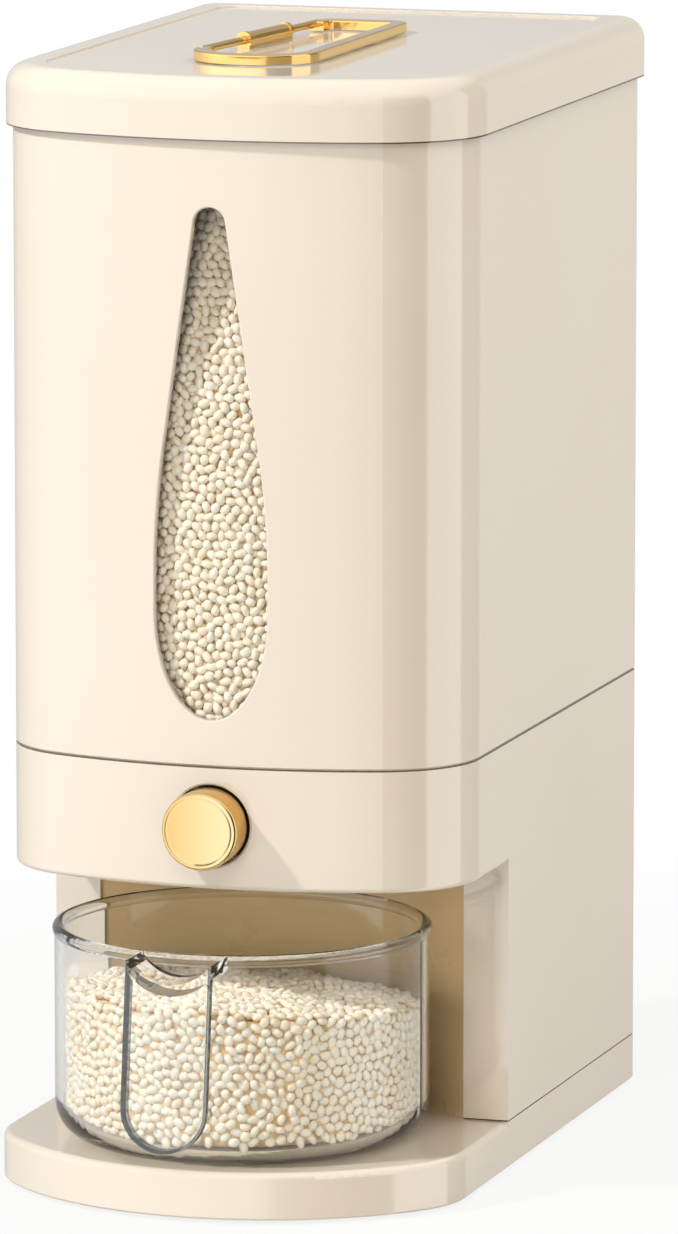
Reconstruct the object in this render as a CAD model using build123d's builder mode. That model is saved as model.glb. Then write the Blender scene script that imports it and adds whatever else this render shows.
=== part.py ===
from build123d import *
import os
from math import acos, asin, atan2, cos, degrees, hypot, radians, sin, sqrt, tan

# Push-button rice dispenser. A windowed bin under a lift-off lid stands on a housing, whose
# button draws a sprung gate under the rice. The rice falls into a glass cup in the open bay below.
# Millimetres. The front faces -Y, z = 0 is the worktop and the origin lies under the middle.

# Body plan, shared by the bin, the housing and the rear of the base
body_width = 185.0
body_depth = 275.4
bow_radius = 203.0
corner_radius = 40.0
back_radius = 10.0
wall = 2.6
least_radius = 1.5

# Base
base_height = 18.3
base_edge = 2.6
base_hem = 0.8
nose_reach = 33.0
nose_flatness = 15.0
nose_corner = 42.0
seam_chamfer = 0.65

# Feet
foot_proud = 1.5
foot_radius = 9.0
foot_sink = 1.0
foot_inset = 26.0
foot_nose_inset = 44.0
foot_nose_spread = 46.0

# Measuring cup and its bay
cup_radius = 72.4
cup_height = 83.6
cup_wall = 3.0
cup_floor = 4.5
cup_foot = 14.0
cup_bead = 2.2
cup_bead_proud = 0.8
cup_set_back = 0.5
cup_headroom = 19.1
handle_reach = 19.5
handle_width = 34.0
handle_thickness = 5.0
handle_lift = 12.0
handle_lean = 7.0
handle_round = 1.4
dish_depth = 8.0

# Legs and the curved wall behind the cup
leg_width = 18.2
leg_set_back = 48.7
liner_gap = 14.3
liner_wall = 2.2
liner_set_back = 16.4
wing_gap = 0.3

# Apron, bin and window
apron_height = 47.5
apron_edge = 2.0
window_rise = 17.7
window_height = 196.1
window_headroom = 37.3
window_width = 44.9
window_cap = 6.2
window_bowl = 41.2
window_straight = 12.0
window_taper = 87.85
window_round = 0.7
window_lap = 6.0
window_seal_lip = 1.2
window_seal_thickness = 0.6
window_fit = 0.2
pane_thickness = 1.6

# Lid
lid_height = 23.6
lid_lap = 11.8
lid_overhang = 2.7
lid_wall = 2.0
lid_edge = 9.0
lid_inside_edge = 5.0
panel_inset = 15.5
panel_depth = 0.8
panel_round = 0.5
panel_back_radius = 8.0
plug_gap = 0.9
plug_wall = 2.5
plug_depth = 10.0
plug_plate = 2.5
plug_plate_inset = 0.4
seal_gap = 0.3
seal_height = 4.0
seal_sink = 1.1
lid_boss_radius = 4.5
lid_screw_inset = 34.0

# Folding pull on the lid
pull_ahead = 87.0
pull_behind = 54.0
pull_side = 21.3
pull_bar = 6.0
pull_height = 3.8
pull_drop = 0.6
pull_front_corner = 22.0
pull_back_corner = 7.5
pull_round = 0.8
hinge_side = 20.5
hinge_turn = 6.3
rod_radius = 1.6
rod_fit = 0.06
rod_rise = 3.1
rod_front_end = 26.0
rod_back_end = 12.0
rod_bite = 3.0
barrel_radius = 2.9
barrel_length = 41.0
barrel_offset = -4.0
collar_radius = 3.3
collar_width = 2.4
barrel_foot = 5.0
stud_radius = 1.5
stud_fit = 0.1
stud_spacing = 16.0
stud_spare = 0.8
nut_width = 5.5
nut_height = 2.4

# Push button
button_rise = 24.7
button_radius = 15.1
button_proud = 14.0
button_wall = 1.8
button_face = 2.5
button_edge = 1.6
button_flange = 2.1
button_flange_thickness = 1.6
button_stop_gap = 0.3
sleeve_gap = 0.35
sleeve_wall = 0.85
sleeve_recess = 0.5
sleeve_flange = 2.8
sleeve_flange_thickness = 1.5
sleeve_fit = 0.1
pad_depth = 2.7
pad_margin = 1.0
stem_radius = 5.0
stem_fit = 0.05
stem_socket_wall = 2.4
stem_socket_depth = 10.0
stem_lug_width = 14.0
stem_lug_length = 6.8
stem_lug_gap = 0.5
stem_lug_thickness = 4.0
stem_lug_clear = 1.1

# Gate, its guide and its spring
outlet_width = 30.0
outlet_depth = 11.0
gate_rise = 12.0
gate_thickness = 3.0
gate_margin = 3.0
gate_lap = 15.2
gate_closed_lap = 1.0
gate_gap = 0.3
tab_half = 5.0
tab_height = 2.5
tab_thickness = 3.0
rail_width = 6.0
guide_floor = 2.6
guide_back = 3.0
guide_back_proud = 3.0
guide_boss = 16.0
guide_boss_radius = 4.0
guide_foot = 2.6
guide_foot_reach = 9.4
guide_foot_length = 11.0
spout_wall = 1.6
spout_gap = 0.3
cover_thickness = 2.5
spring_radius = 3.5
spring_wire = 0.5
spring_length = 26.8
spring_turns = 7
spring_seat = 0.05
spring_pin_gap = 0.8
spring_pin_length = 11.0

# Sloping floor of the bin
throat_rise = 6.7
throat_lip = 2.0
nose_sink = 0.7
hopper_wall = 2.5
hopper_fit = 0.3
nose_wall = 2.0
nose_gap = 0.3
rear_slope = 26.0
side_slope = 35.0
pane_clear = 1.0
ledge_reach = 6.0
ledge_width = 12.0
ledge_foot = 14.0
ledge_lip = 3.0
back_ledge_spread = 40.0

# Screws
screw_radius = 1.5
screw_hole_gap = 0.1
screw_head = 3.0
screw_head_height = 1.8
screw_slot = 0.6
screw_slot_depth = 1.0
base_screw_length = 20.0
base_screw_sink = 8.0
short_screw_length = 8.0
bin_screw_length = 14.0
boss_wall = 3.4
boss_height = 24.0
bin_tab = 14.0
bin_tab_thickness = 4.0
bin_tab_front = 66.0
bin_tab_back = 30.0

# Heights
bay_floor = foot_proud + base_height
cup_rim = bay_floor + cup_height
bay_top = cup_rim + cup_headroom
deck_top = bay_top + wall
seam = bay_top + apron_height
window_low = seam + window_rise
window_top = window_low + window_height
rim = window_top + window_headroom
lid_low = rim - lid_lap
lid_top = lid_low + lid_height
panel_top = lid_top - panel_depth
lid_ceiling = panel_top - lid_wall
rod_z = panel_top + rod_rise
button_z = bay_top + button_rise
gate_z = button_z + gate_rise
gate_low = gate_z - gate_thickness / 2
gate_top = gate_z + gate_thickness / 2
guide_top = gate_top + gate_gap
floor_top = gate_low - gate_gap
floor_low = floor_top - guide_floor
cover_top = guide_top + cover_thickness
throat_z = gate_top + throat_rise
foot_seat = deck_top + guide_boss

# Places across and from front to back
half_width = body_width / 2
handle_out = (cup_height - handle_lift) * tan(radians(handle_lean))
reach_ahead = max(nose_reach, nose_reach - cup_set_back + handle_reach + handle_out)
overall_depth = reach_ahead + body_depth + lid_overhang
body_front = reach_ahead - overall_depth / 2
body_back = body_front + body_depth
body_middle = (body_front + body_back) / 2
nose_front = body_front - nose_reach
nose_radius = half_width + nose_flatness
cup_y = nose_front + cup_set_back + cup_radius
handle_front = cup_y - cup_radius - handle_reach
leg_front = cup_y + leg_set_back
liner_radius = cup_radius + liner_gap
liner_front = leg_front + liner_set_back
liner_inside = sqrt(liner_radius**2 - (liner_front - cup_y) ** 2)
liner_outside = sqrt((liner_radius + liner_wall) ** 2 - (liner_front - cup_y) ** 2)
leg_inner = half_width - leg_width
wing_front = leg_front + wall + wing_gap
window_seal_inset = wall + window_fit
pane_inset = window_seal_inset + window_seal_thickness + window_fit
sleeve_inner = button_radius + sleeve_gap
sleeve_outer = sleeve_inner + sleeve_wall
pad_back = body_front + wall + pad_depth
sleeve_back = pad_back + sleeve_flange_thickness
button_front = body_front - button_proud
button_back = sleeve_back + button_stop_gap + button_flange_thickness
button_cavity = button_front + button_face
stem_lug_front = button_back + stem_lug_gap
stem_lug_back = stem_lug_front + stem_lug_length
button_travel = outlet_depth + gate_closed_lap
guide_front = stem_lug_back + button_travel + stem_lug_clear
outlet_front = guide_front + nose_gap + spout_wall
outlet_back = outlet_front + outlet_depth
outlet_middle = (outlet_front + outlet_back) / 2
port_middle = outlet_middle - button_travel
gate_half = outlet_width / 2 + gate_margin
gate_front = stem_lug_front
gate_back = outlet_back + gate_lap
tab_front = gate_back - tab_thickness
front_slope = degrees(
    atan2(window_low - window_lap - pane_clear - throat_z, outlet_front - body_front - wall)
)
guide_half = gate_half + gate_gap + rail_width
spring_back = gate_back + spring_length
guide_end = spring_back + guide_back
cover_back = tab_front - gate_gap
guide_foot_x = guide_half + guide_foot_reach / 2
guide_foot_ys = (guide_front + guide_foot_length / 2, guide_end - guide_foot_length / 2)
pull_front = body_middle - pull_ahead
pull_back = body_middle + pull_behind
hinge_y = body_middle + barrel_offset
hinge_across = (cos(radians(hinge_turn)), -sin(radians(hinge_turn)))
hinge_along = (sin(radians(hinge_turn)), cos(radians(hinge_turn)))
boss_radius = screw_radius + boss_wall
boss_x = half_width - wall - boss_wall
pilot_radius = screw_radius + screw_hole_gap

# Screw and foot places
base_screw_points = [
    (side * boss_x, y)
    for side in (-1, 1)
    for y in (leg_front + wall + boss_radius, body_back - wall - back_radius - boss_radius)
]
bin_screw_points = [
    (side * (half_width - wall - bin_tab / 2), y)
    for side in (-1, 1)
    for y in (body_front + bin_tab_front, body_back - bin_tab_back)
]
guide_screw_points = [(side * guide_foot_x, y) for side in (-1, 1) for y in guide_foot_ys]
gate_screw_points = [
    (side * (guide_half - rail_width / 2), y)
    for side in (-1, 1)
    for y in (guide_front + rail_width / 2, cover_back - rail_width / 2)
]
lid_screw_points = [
    (side * (half_width - lid_screw_inset), y)
    for side in (-1, 1)
    for y in (body_front + lid_screw_inset + wall, body_back - lid_screw_inset)
]
stud_points = [
    (along * hinge_along[0] - hinge_side, hinge_y + along * hinge_along[1])
    for along in (-stud_spacing / 2, stud_spacing / 2)
]
foot_points = [
    (-foot_nose_spread, nose_front + foot_nose_inset),
    (foot_nose_spread, nose_front + foot_nose_inset),
    (-half_width + foot_inset, body_back - foot_inset),
    (half_width - foot_inset, body_back - foot_inset),
]

# Which way a cylinder or a box grows from the height it is placed at
upward = (Align.CENTER, Align.CENTER, Align.MIN)
downward = (Align.CENTER, Align.CENTER, Align.MAX)


def at_height(points, z):
    """The same plan points, all at the height z."""
    return [(x, y, z) for x, y in points]


def front_plane(y):
    """Upright plane facing the front: a sketch on it is in X and Z, and grows back when negative."""
    return Plane.XZ.offset(-y)


def hinge_plane(along):
    """Upright plane square to the pull's rod, so far along it from the barrel's middle."""
    return Plane(
        origin=(along * hinge_along[0] - hinge_side, hinge_y + along * hinge_along[1], rod_z),
        x_dir=(*hinge_across, 0),
        z_dir=(-hinge_along[0], -hinge_along[1], 0),
    )


def rod_edge(y):
    """Outer side of the rod at y, where the pull's ring ends on that side."""
    return (y - hinge_y) * tan(radians(hinge_turn)) - hinge_side - rod_radius


def bowed_plan(front, back, half, bow, corner, back_corner):
    """Plan with a bowed front, round front corners, straight sides and a flat back."""
    corner_y = front + bow - sqrt((bow - corner) ** 2 - (half - corner) ** 2)
    turn = degrees(asin((half - corner) / (bow - corner)))
    with BuildSketch() as plan:
        with BuildLine():
            CenterArc((0, front + bow), bow, 270 - turn, 2 * turn)
            side = [
                CenterArc((half - corner, corner_y), corner, 270 + turn, 90 - turn),
                Line((half, corner_y), (half, back - back_corner)),
                CenterArc((half - back_corner, back - back_corner), back_corner, 0, 90),
            ]
            mirror(side, about=Plane.YZ)
            Line((half - back_corner, back), (back_corner - half, back))
        make_face()
    return plan.sketch


def body_plan(inset):
    """Plan of the body, drawn in on every side by inset."""
    return bowed_plan(
        body_front + inset,
        body_back - inset,
        half_width - inset,
        bow_radius - inset,
        corner_radius - inset,
        max(back_radius - inset, least_radius),
    )


def base_plan(inset):
    """Plan of the base, which has the body's sides and back and a rounder nose."""
    return bowed_plan(
        nose_front + inset,
        body_back - inset,
        half_width - inset,
        nose_radius - inset,
        nose_corner - inset,
        max(back_radius - inset, least_radius),
    )


def window_outline(grow):
    """Drop-shaped window seen from the front: oval bowl, bent then straight sides and a round cap."""
    half = window_width / 2 + grow
    cap = window_cap + grow
    cap_z = window_top - window_cap
    bowl_z = window_low + window_bowl
    side_z = bowl_z + window_straight
    down = side_z - cap_z
    side_radius = (half**2 + down**2 - window_taper**2 - cap**2) / (2 * (half - cap))
    across = half - side_radius
    lean = atan2(down, across) + acos((cap - side_radius) / hypot(across, down))
    side_end = (across + side_radius * cos(lean), side_z + side_radius * sin(lean))
    cap_end = (cap * cos(lean), cap_z + cap * sin(lean))
    with BuildSketch() as outline:
        with BuildLine():
            EllipticalCenterArc((0, bowl_z), half, window_bowl + grow, 180, arc_size=180)
            side = [
                Line((half, bowl_z), (half, side_z)),
                CenterArc((across, side_z), side_radius, 0, degrees(lean)),
                Line(side_end, cap_end),
            ]
            mirror(side, about=Plane.YZ)
            CenterArc((0, cap_z), cap, degrees(lean), 180 - 2 * degrees(lean))
        make_face()
    return outline.sketch


def hopper_planes(drop):
    """The four sloping faces that rise from the throat, each lowered square to itself by drop."""
    edges = (
        ((0, outlet_back), (0, 1), rear_slope),
        ((0, outlet_front), (0, -1), front_slope),
        ((outlet_width / 2, outlet_middle), (1, 0), side_slope),
        ((-outlet_width / 2, outlet_middle), (-1, 0), side_slope),
    )
    planes = []
    for (x, y), (away_x, away_y), slope in edges:
        tilt = radians(slope)
        normal = Vector(-away_x * sin(tilt), -away_y * sin(tilt), cos(tilt))
        planes.append(Plane(origin=Vector(x, y, throat_z) - normal * drop, z_dir=normal))
    return planes


def hopper_space(drop, low):
    """Space inside the bin's walls and above the sloping faces, from the height low up."""
    high = throat_z + (body_back - outlet_back) * tan(radians(rear_slope))
    with BuildPart() as space:
        with BuildSketch(Plane.XY.offset(low)):
            add(body_plan(wall + hopper_fit))
        extrude(amount=high - low)
        for plane in hopper_planes(drop):
            split(bisect_by=plane, keep=Keep.TOP)
    return space.part


def under_slope(run, slope):
    """Height of the funnel's underside at the distance run from the throat."""
    tilt = radians(slope)
    return throat_z + run * tan(tilt) - hopper_wall / cos(tilt)


def pan_screws(points, seat, length, points_up):
    """Slotted pan-head screws whose heads bear on the height seat."""
    shank, head = (upward, downward) if points_up else (downward, upward)
    outside = seat - screw_head_height if points_up else seat + screw_head_height
    with BuildPart() as screws:
        with Locations(*at_height(points, seat)):
            Cylinder(screw_radius, length, align=shank)
            Cylinder(screw_head, screw_head_height, align=head)
        with Locations(*at_height(points, outside)):
            Box(2 * screw_head, screw_slot, 2 * screw_slot_depth, mode=Mode.SUBTRACT)
    return screws.part


# Base plate: a hollow moulded plinth whose nose carries the cup
with BuildPart() as base_plate:
    with BuildSketch(Plane.XY.offset(foot_proud)):
        add(base_plan(0))
    extrude(amount=base_height)
    fillet(base_plate.faces().sort_by(Axis.Z)[-1].edges(), radius=base_edge)
    chamfer(base_plate.faces().sort_by(Axis.Z)[0].edges(), length=base_hem)
    with BuildSketch(Plane.XY.offset(bay_floor - base_height / 2)):
        add(base_plan(0))
        with Locations((0, leg_front)):
            Rectangle(body_width, body_depth, align=(Align.CENTER, Align.MIN), mode=Mode.INTERSECT)
    extrude(amount=base_height / 2)
    with BuildSketch(Plane.XY.offset(foot_proud)):
        add(base_plan(wall))
    extrude(amount=base_height - wall, mode=Mode.SUBTRACT)
    with BuildSketch(Plane.XY.offset(foot_proud)):
        with Locations(*foot_points):
            Circle(foot_radius + wall)
        with Locations(*base_screw_points):
            Circle(screw_head + wall)
        add(base_plan(wall / 2), mode=Mode.INTERSECT)
    extrude(amount=base_height - wall / 2)
    with Locations(*at_height(foot_points, foot_proud)):
        Cylinder(foot_radius, foot_sink, align=upward, mode=Mode.SUBTRACT)
    with Locations(*at_height(base_screw_points, foot_proud)):
        Cylinder(screw_head + screw_hole_gap, base_screw_sink, align=upward, mode=Mode.SUBTRACT)
        Cylinder(pilot_radius, base_height, align=upward, mode=Mode.SUBTRACT)

# Four soft pads set into the underside of the base
with BuildPart() as foot_pads:
    with Locations(*foot_points):
        Cylinder(foot_radius, foot_proud + foot_sink, align=upward)
    chamfer(foot_pads.faces().group_by(Axis.Z)[0].edges(), length=foot_proud / 3)

# Screws up through the base into the legs
with BuildPart() as base_screws:
    add(pan_screws(base_screw_points, foot_proud + base_screw_sink, base_screw_length, True))

# Lower housing: side and back walls, front apron, the deck over the bay and the two leg faces
with BuildPart() as lower_housing:
    with BuildSketch(Plane.XY.offset(bay_floor)):
        add(body_plan(0))
    extrude(amount=seam - bay_floor)
    with BuildSketch(Plane.XY.offset(bay_floor)):
        with Locations((0, leg_front)):
            Rectangle(2 * body_width, 2 * body_depth, align=(Align.CENTER, Align.MAX))
    extrude(amount=bay_top - bay_floor, mode=Mode.SUBTRACT)
    apron_ring = lower_housing.faces().filter_by(Plane.XY).filter_by(
        lambda face: abs(face.center().Z - bay_top) < wall / 2
    )
    fillet(apron_ring.edges().filter_by(lambda edge: edge.center().Y < leg_front - wall), radius=apron_edge)
    for end in (0, -1):
        chamfer(lower_housing.faces().sort_by(Axis.Z)[end].edges(), length=seam_chamfer)
    with BuildSketch(Plane.XY.offset(deck_top)):
        add(body_plan(wall))
    extrude(amount=seam - deck_top, mode=Mode.SUBTRACT)
    with BuildSketch(Plane.XY.offset(bay_floor)):
        add(body_plan(wall))
        with Locations((0, leg_front + wall)):
            Rectangle(body_width, body_depth, align=(Align.CENTER, Align.MIN), mode=Mode.INTERSECT)
    extrude(amount=bay_top - bay_floor, mode=Mode.SUBTRACT)
    with BuildSketch(Plane.XY.offset(bay_floor)):
        with Locations((0, leg_front)):
            Rectangle(body_width - 2 * leg_width, 2 * wall)
    extrude(amount=bay_top - bay_floor, mode=Mode.SUBTRACT)
    with Locations(*at_height(base_screw_points, bay_floor)):
        Cylinder(boss_radius, boss_height, align=upward)
    with Locations(*at_height(bin_screw_points, deck_top)):
        Cylinder(boss_radius, seam - deck_top, align=upward)
    with Locations(*at_height(guide_screw_points, deck_top)):
        Cylinder(guide_boss_radius, guide_boss, align=upward)
    with Locations(*at_height(base_screw_points, bay_floor)):
        Cylinder(pilot_radius, boss_height - boss_wall, align=upward, mode=Mode.SUBTRACT)
    with Locations(*at_height(bin_screw_points, seam)):
        Cylinder(pilot_radius, bin_screw_length, align=downward, mode=Mode.SUBTRACT)
    with Locations(*at_height(guide_screw_points, foot_seat)):
        Cylinder(pilot_radius, short_screw_length, align=downward, mode=Mode.SUBTRACT)
    with BuildSketch(front_plane(body_front + wall)):
        with Locations((0, button_z)):
            Circle(sleeve_inner + sleeve_flange + pad_margin)
    extrude(amount=-pad_depth)
    with BuildSketch(front_plane(body_front - button_proud)):
        with Locations((0, button_z)):
            Circle(sleeve_outer + sleeve_fit)
    extrude(amount=-(button_proud + wall + pad_depth), mode=Mode.SUBTRACT)
    with BuildSketch(Plane.XY.offset(bay_top)):
        with Locations((0, outlet_middle)):
            Rectangle(
                outlet_width + 2 * (spout_wall + spout_gap), outlet_depth + 2 * (spout_wall + spout_gap)
            )
    extrude(amount=wall, mode=Mode.SUBTRACT)

# Curved wall behind the cup, held between the base and the deck, with a wing to each leg
with BuildPart() as bay_liner:
    with BuildSketch(Plane.XY.offset(bay_floor)):
        with Locations((0, cup_y)):
            Circle(liner_radius + liner_wall)
            Circle(liner_radius, mode=Mode.SUBTRACT)
        with Locations((0, liner_front)):
            Rectangle(body_width, body_depth, align=(Align.CENTER, Align.MIN), mode=Mode.INTERSECT)
        for side in (-1, 1):
            with BuildLine():
                Polyline(
                    (side * liner_inside, liner_front),
                    (side * leg_inner, wing_front),
                    (side * (leg_inner + liner_wall), wing_front),
                    (side * liner_outside, liner_front),
                    close=True,
                )
            make_face()
    extrude(amount=bay_top - bay_floor)

# Rice bin: an open tube with the window, ledges for the funnel and tabs for its screws
with BuildPart() as rice_bin:
    with BuildSketch(Plane.XY.offset(seam)):
        add(body_plan(0))
    extrude(amount=rim - seam)
    chamfer(rice_bin.faces().sort_by(Axis.Z)[0].edges(), length=seam_chamfer)
    with BuildSketch(front_plane(body_front - wall)):
        add(window_outline(0))
    extrude(amount=-(3 * wall + window_lap), mode=Mode.SUBTRACT)
    bowed_face = rice_bin.faces().filter_by(GeomType.CYLINDER).sort_by(SortBy.AREA)[-1]
    fillet(bowed_face.inner_wires()[0].edges(), radius=window_round)
    with BuildSketch(Plane.XY.offset(seam)):
        add(body_plan(wall))
    extrude(amount=rim - seam, mode=Mode.SUBTRACT)
    for side in (-1, 1):
        for y in (body_front + bin_tab_front, body_back - bin_tab_back):
            with Locations((side * half_width - side * wall / 2, y, seam)):
                Box(
                    bin_tab + wall / 2,
                    bin_tab,
                    bin_tab_thickness,
                    align=(Align.MAX if side > 0 else Align.MIN, Align.CENTER, Align.MIN),
                )
    with Locations(*at_height(bin_screw_points, seam)):
        Cylinder(pilot_radius, bin_tab_thickness, align=upward, mode=Mode.SUBTRACT)
    side_run = half_width - wall / 2 - outlet_width / 2
    side_tip = side_run - wall / 2 - ledge_reach
    for y in (body_front + bin_tab_front + ledge_width, body_back - bin_tab_back - ledge_width):
        with BuildSketch(front_plane(y - ledge_width / 2)):
            with BuildLine():
                Polyline(
                    (half_width - wall / 2, under_slope(side_run, side_slope)),
                    (half_width - wall - ledge_reach, under_slope(side_tip, side_slope)),
                    (half_width - wall - ledge_reach, under_slope(side_tip, side_slope) - ledge_lip),
                    (half_width - wall / 2, under_slope(side_run, side_slope) - ledge_foot),
                    close=True,
                )
            make_face()
            mirror(about=Plane.YZ)
        extrude(amount=-ledge_width)
    back_run = body_back - wall / 2 - outlet_back
    back_tip = back_run - wall / 2 - ledge_reach
    for x in (-back_ledge_spread, back_ledge_spread):
        with BuildSketch(Plane.YZ.offset(x - ledge_width / 2)):
            with BuildLine():
                Polyline(
                    (body_back - wall / 2, under_slope(back_run, rear_slope)),
                    (body_back - wall - ledge_reach, under_slope(back_tip, rear_slope)),
                    (body_back - wall - ledge_reach, under_slope(back_tip, rear_slope) - ledge_lip),
                    (body_back - wall / 2, under_slope(back_run, rear_slope) - ledge_foot),
                    close=True,
                )
            make_face()
        extrude(amount=ledge_width)

# Screws down through the bin's tabs into the housing's posts
with BuildPart() as bin_screws:
    add(pan_screws(bin_screw_points, seam + bin_tab_thickness, bin_screw_length, False))

# Funnel: four sloping walls that lead the rice to the throat over the gate
with BuildPart() as hopper_funnel:
    add(hopper_space(hopper_wall, throat_z - throat_lip))
    with BuildSketch(Plane.XY.offset(guide_top + nose_sink)):
        with Locations((0, outlet_middle)):
            Rectangle(outlet_width + 2 * nose_wall, outlet_depth + 2 * nose_wall)
    extrude(amount=throat_z - guide_top - nose_sink)
    add(hopper_space(0, throat_z), mode=Mode.SUBTRACT)
    with BuildSketch(Plane.XY.offset(guide_top)):
        with Locations((0, outlet_middle)):
            Rectangle(outlet_width, outlet_depth)
    extrude(amount=throat_z - guide_top, mode=Mode.SUBTRACT)

# Clear pane behind the window, with a thin gasket between it and the bin's wall
with BuildPart() as window_pane:
    with BuildSketch(Plane.XY.offset(window_low - 2 * window_lap)):
        add(body_plan(pane_inset))
        add(body_plan(pane_inset + pane_thickness), mode=Mode.SUBTRACT)
    extrude(amount=window_height + 4 * window_lap)
    with BuildSketch(front_plane(body_front)):
        add(window_outline(window_lap))
    extrude(amount=-body_depth / 2, mode=Mode.INTERSECT)

with BuildPart() as window_seal:
    with BuildSketch(Plane.XY.offset(window_low - 2 * window_lap)):
        add(body_plan(window_seal_inset))
        add(body_plan(window_seal_inset + window_seal_thickness), mode=Mode.SUBTRACT)
    extrude(amount=window_height + 4 * window_lap)
    with BuildSketch(front_plane(body_front)):
        add(window_outline(window_lap))
        add(window_outline(window_seal_lip), mode=Mode.SUBTRACT)
    extrude(amount=-body_depth / 2, mode=Mode.INTERSECT)

# Gate guide: floor with the spout, side rails, spring wall with its pin, and four feet
with BuildPart() as gate_guide:
    with BuildSketch(Plane.XY.offset(floor_low)):
        with Locations((0, guide_front)):
            Rectangle(2 * guide_half, guide_end - guide_front, align=(Align.CENTER, Align.MIN))
    extrude(amount=guide_top - floor_low)
    with BuildSketch(Plane.XY.offset(floor_top)):
        with Locations((0, guide_front)):
            Rectangle(
                2 * (gate_half + gate_gap), spring_back - guide_front, align=(Align.CENTER, Align.MIN)
            )
    extrude(amount=guide_top - floor_top, mode=Mode.SUBTRACT)
    with BuildSketch(Plane.XY.offset(floor_low)):
        with Locations((0, tab_front - gate_gap)):
            Rectangle(
                2 * (tab_half + gate_gap),
                spring_back - tab_front + gate_gap,
                align=(Align.CENTER, Align.MIN),
            )
    extrude(amount=guide_floor, mode=Mode.SUBTRACT)
    with BuildSketch(Plane.XY.offset(floor_low)):
        with Locations((0, spring_back)):
            Rectangle(2 * guide_half, guide_back, align=(Align.CENTER, Align.MIN))
    extrude(amount=guide_top + guide_back_proud - floor_low)
    with BuildSketch(front_plane(spring_back)):
        with Locations((0, gate_z)):
            Circle(spring_radius - spring_wire - spring_pin_gap)
    extrude(amount=spring_pin_length)
    with BuildSketch(Plane.XY.offset(foot_seat)):
        with Locations((0, (guide_front + guide_end) / 2)):
            Rectangle(2 * guide_half, guide_end - guide_front)
            Rectangle(2 * (guide_half - guide_floor), guide_end - guide_front, mode=Mode.SUBTRACT)
    extrude(amount=floor_low - foot_seat)
    with BuildSketch(Plane.XY.offset(foot_seat)):
        with Locations(*guide_screw_points):
            Rectangle(guide_foot_reach + guide_floor, guide_foot_length)
    extrude(amount=guide_foot)
    with Locations(*at_height(guide_screw_points, foot_seat)):
        Cylinder(pilot_radius, guide_foot, align=upward, mode=Mode.SUBTRACT)
    with Locations(*at_height(gate_screw_points, floor_low)):
        Cylinder(pilot_radius, guide_top - floor_low, align=upward, mode=Mode.SUBTRACT)
    with BuildSketch(Plane.XY.offset(bay_top)):
        with Locations((0, outlet_middle)):
            Rectangle(outlet_width + 2 * spout_wall, outlet_depth + 2 * spout_wall)
    extrude(amount=floor_low - bay_top)
    with BuildSketch(Plane.XY.offset(bay_top)):
        with Locations((0, outlet_middle)):
            Rectangle(outlet_width, outlet_depth)
    extrude(amount=floor_top - bay_top, mode=Mode.SUBTRACT)

# Cover plate that keeps the gate down and takes the funnel's nose
with BuildPart() as gate_cover:
    with BuildSketch(Plane.XY.offset(guide_top)):
        with Locations((0, guide_front)):
            Rectangle(2 * guide_half, cover_back - guide_front, align=(Align.CENTER, Align.MIN))
        with Locations((0, outlet_middle)):
            Rectangle(
                outlet_width + 2 * (nose_wall + nose_gap),
                outlet_depth + 2 * (nose_wall + nose_gap),
                mode=Mode.SUBTRACT,
            )
        with Locations(*gate_screw_points):
            Circle(pilot_radius, mode=Mode.SUBTRACT)
    extrude(amount=cover_thickness)

# Screws of the gate cover and of the guide's feet
with BuildPart() as gate_screws:
    add(pan_screws(gate_screw_points, cover_top, guide_top - floor_low + cover_thickness, False))

with BuildPart() as guide_screws:
    add(pan_screws(guide_screw_points, foot_seat + guide_foot, short_screw_length, False))

# Dark sleeve that lines the button's hole
with BuildPart() as button_sleeve:
    with BuildSketch(front_plane(body_front + sleeve_recess)):
        with Locations((0, button_z)):
            Circle(sleeve_outer)
    extrude(amount=-(sleeve_back - body_front - sleeve_recess))
    with BuildSketch(front_plane(pad_back)):
        with Locations((0, button_z)):
            Circle(sleeve_inner + sleeve_flange)
    extrude(amount=-sleeve_flange_thickness)
    with BuildSketch(front_plane(body_front)):
        with Locations((0, button_z)):
            Circle(sleeve_inner)
    extrude(amount=-(sleeve_back - body_front), mode=Mode.SUBTRACT)

# Button cap: a hollow knob with a stop flange behind the sleeve and a socket for its stem
with BuildPart() as button_cap:
    with BuildSketch(front_plane(button_front)):
        with Locations((0, button_z)):
            Circle(button_radius)
    extrude(amount=-(button_back - button_front))
    fillet(button_cap.faces().sort_by(Axis.Y)[0].edges(), radius=button_edge)
    with BuildSketch(front_plane(button_back)):
        with Locations((0, button_z)):
            Circle(button_radius + button_flange)
    extrude(amount=button_flange_thickness)
    with BuildSketch(front_plane(button_back)):
        with Locations((0, button_z)):
            Circle(button_radius - button_wall)
    extrude(amount=button_back - button_cavity, mode=Mode.SUBTRACT)
    with BuildSketch(front_plane(button_cavity)):
        with Locations((0, button_z)):
            Circle(stem_radius + stem_fit + stem_socket_wall)
            Circle(stem_radius + stem_fit, mode=Mode.SUBTRACT)
    extrude(amount=-stem_socket_depth)

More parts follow.
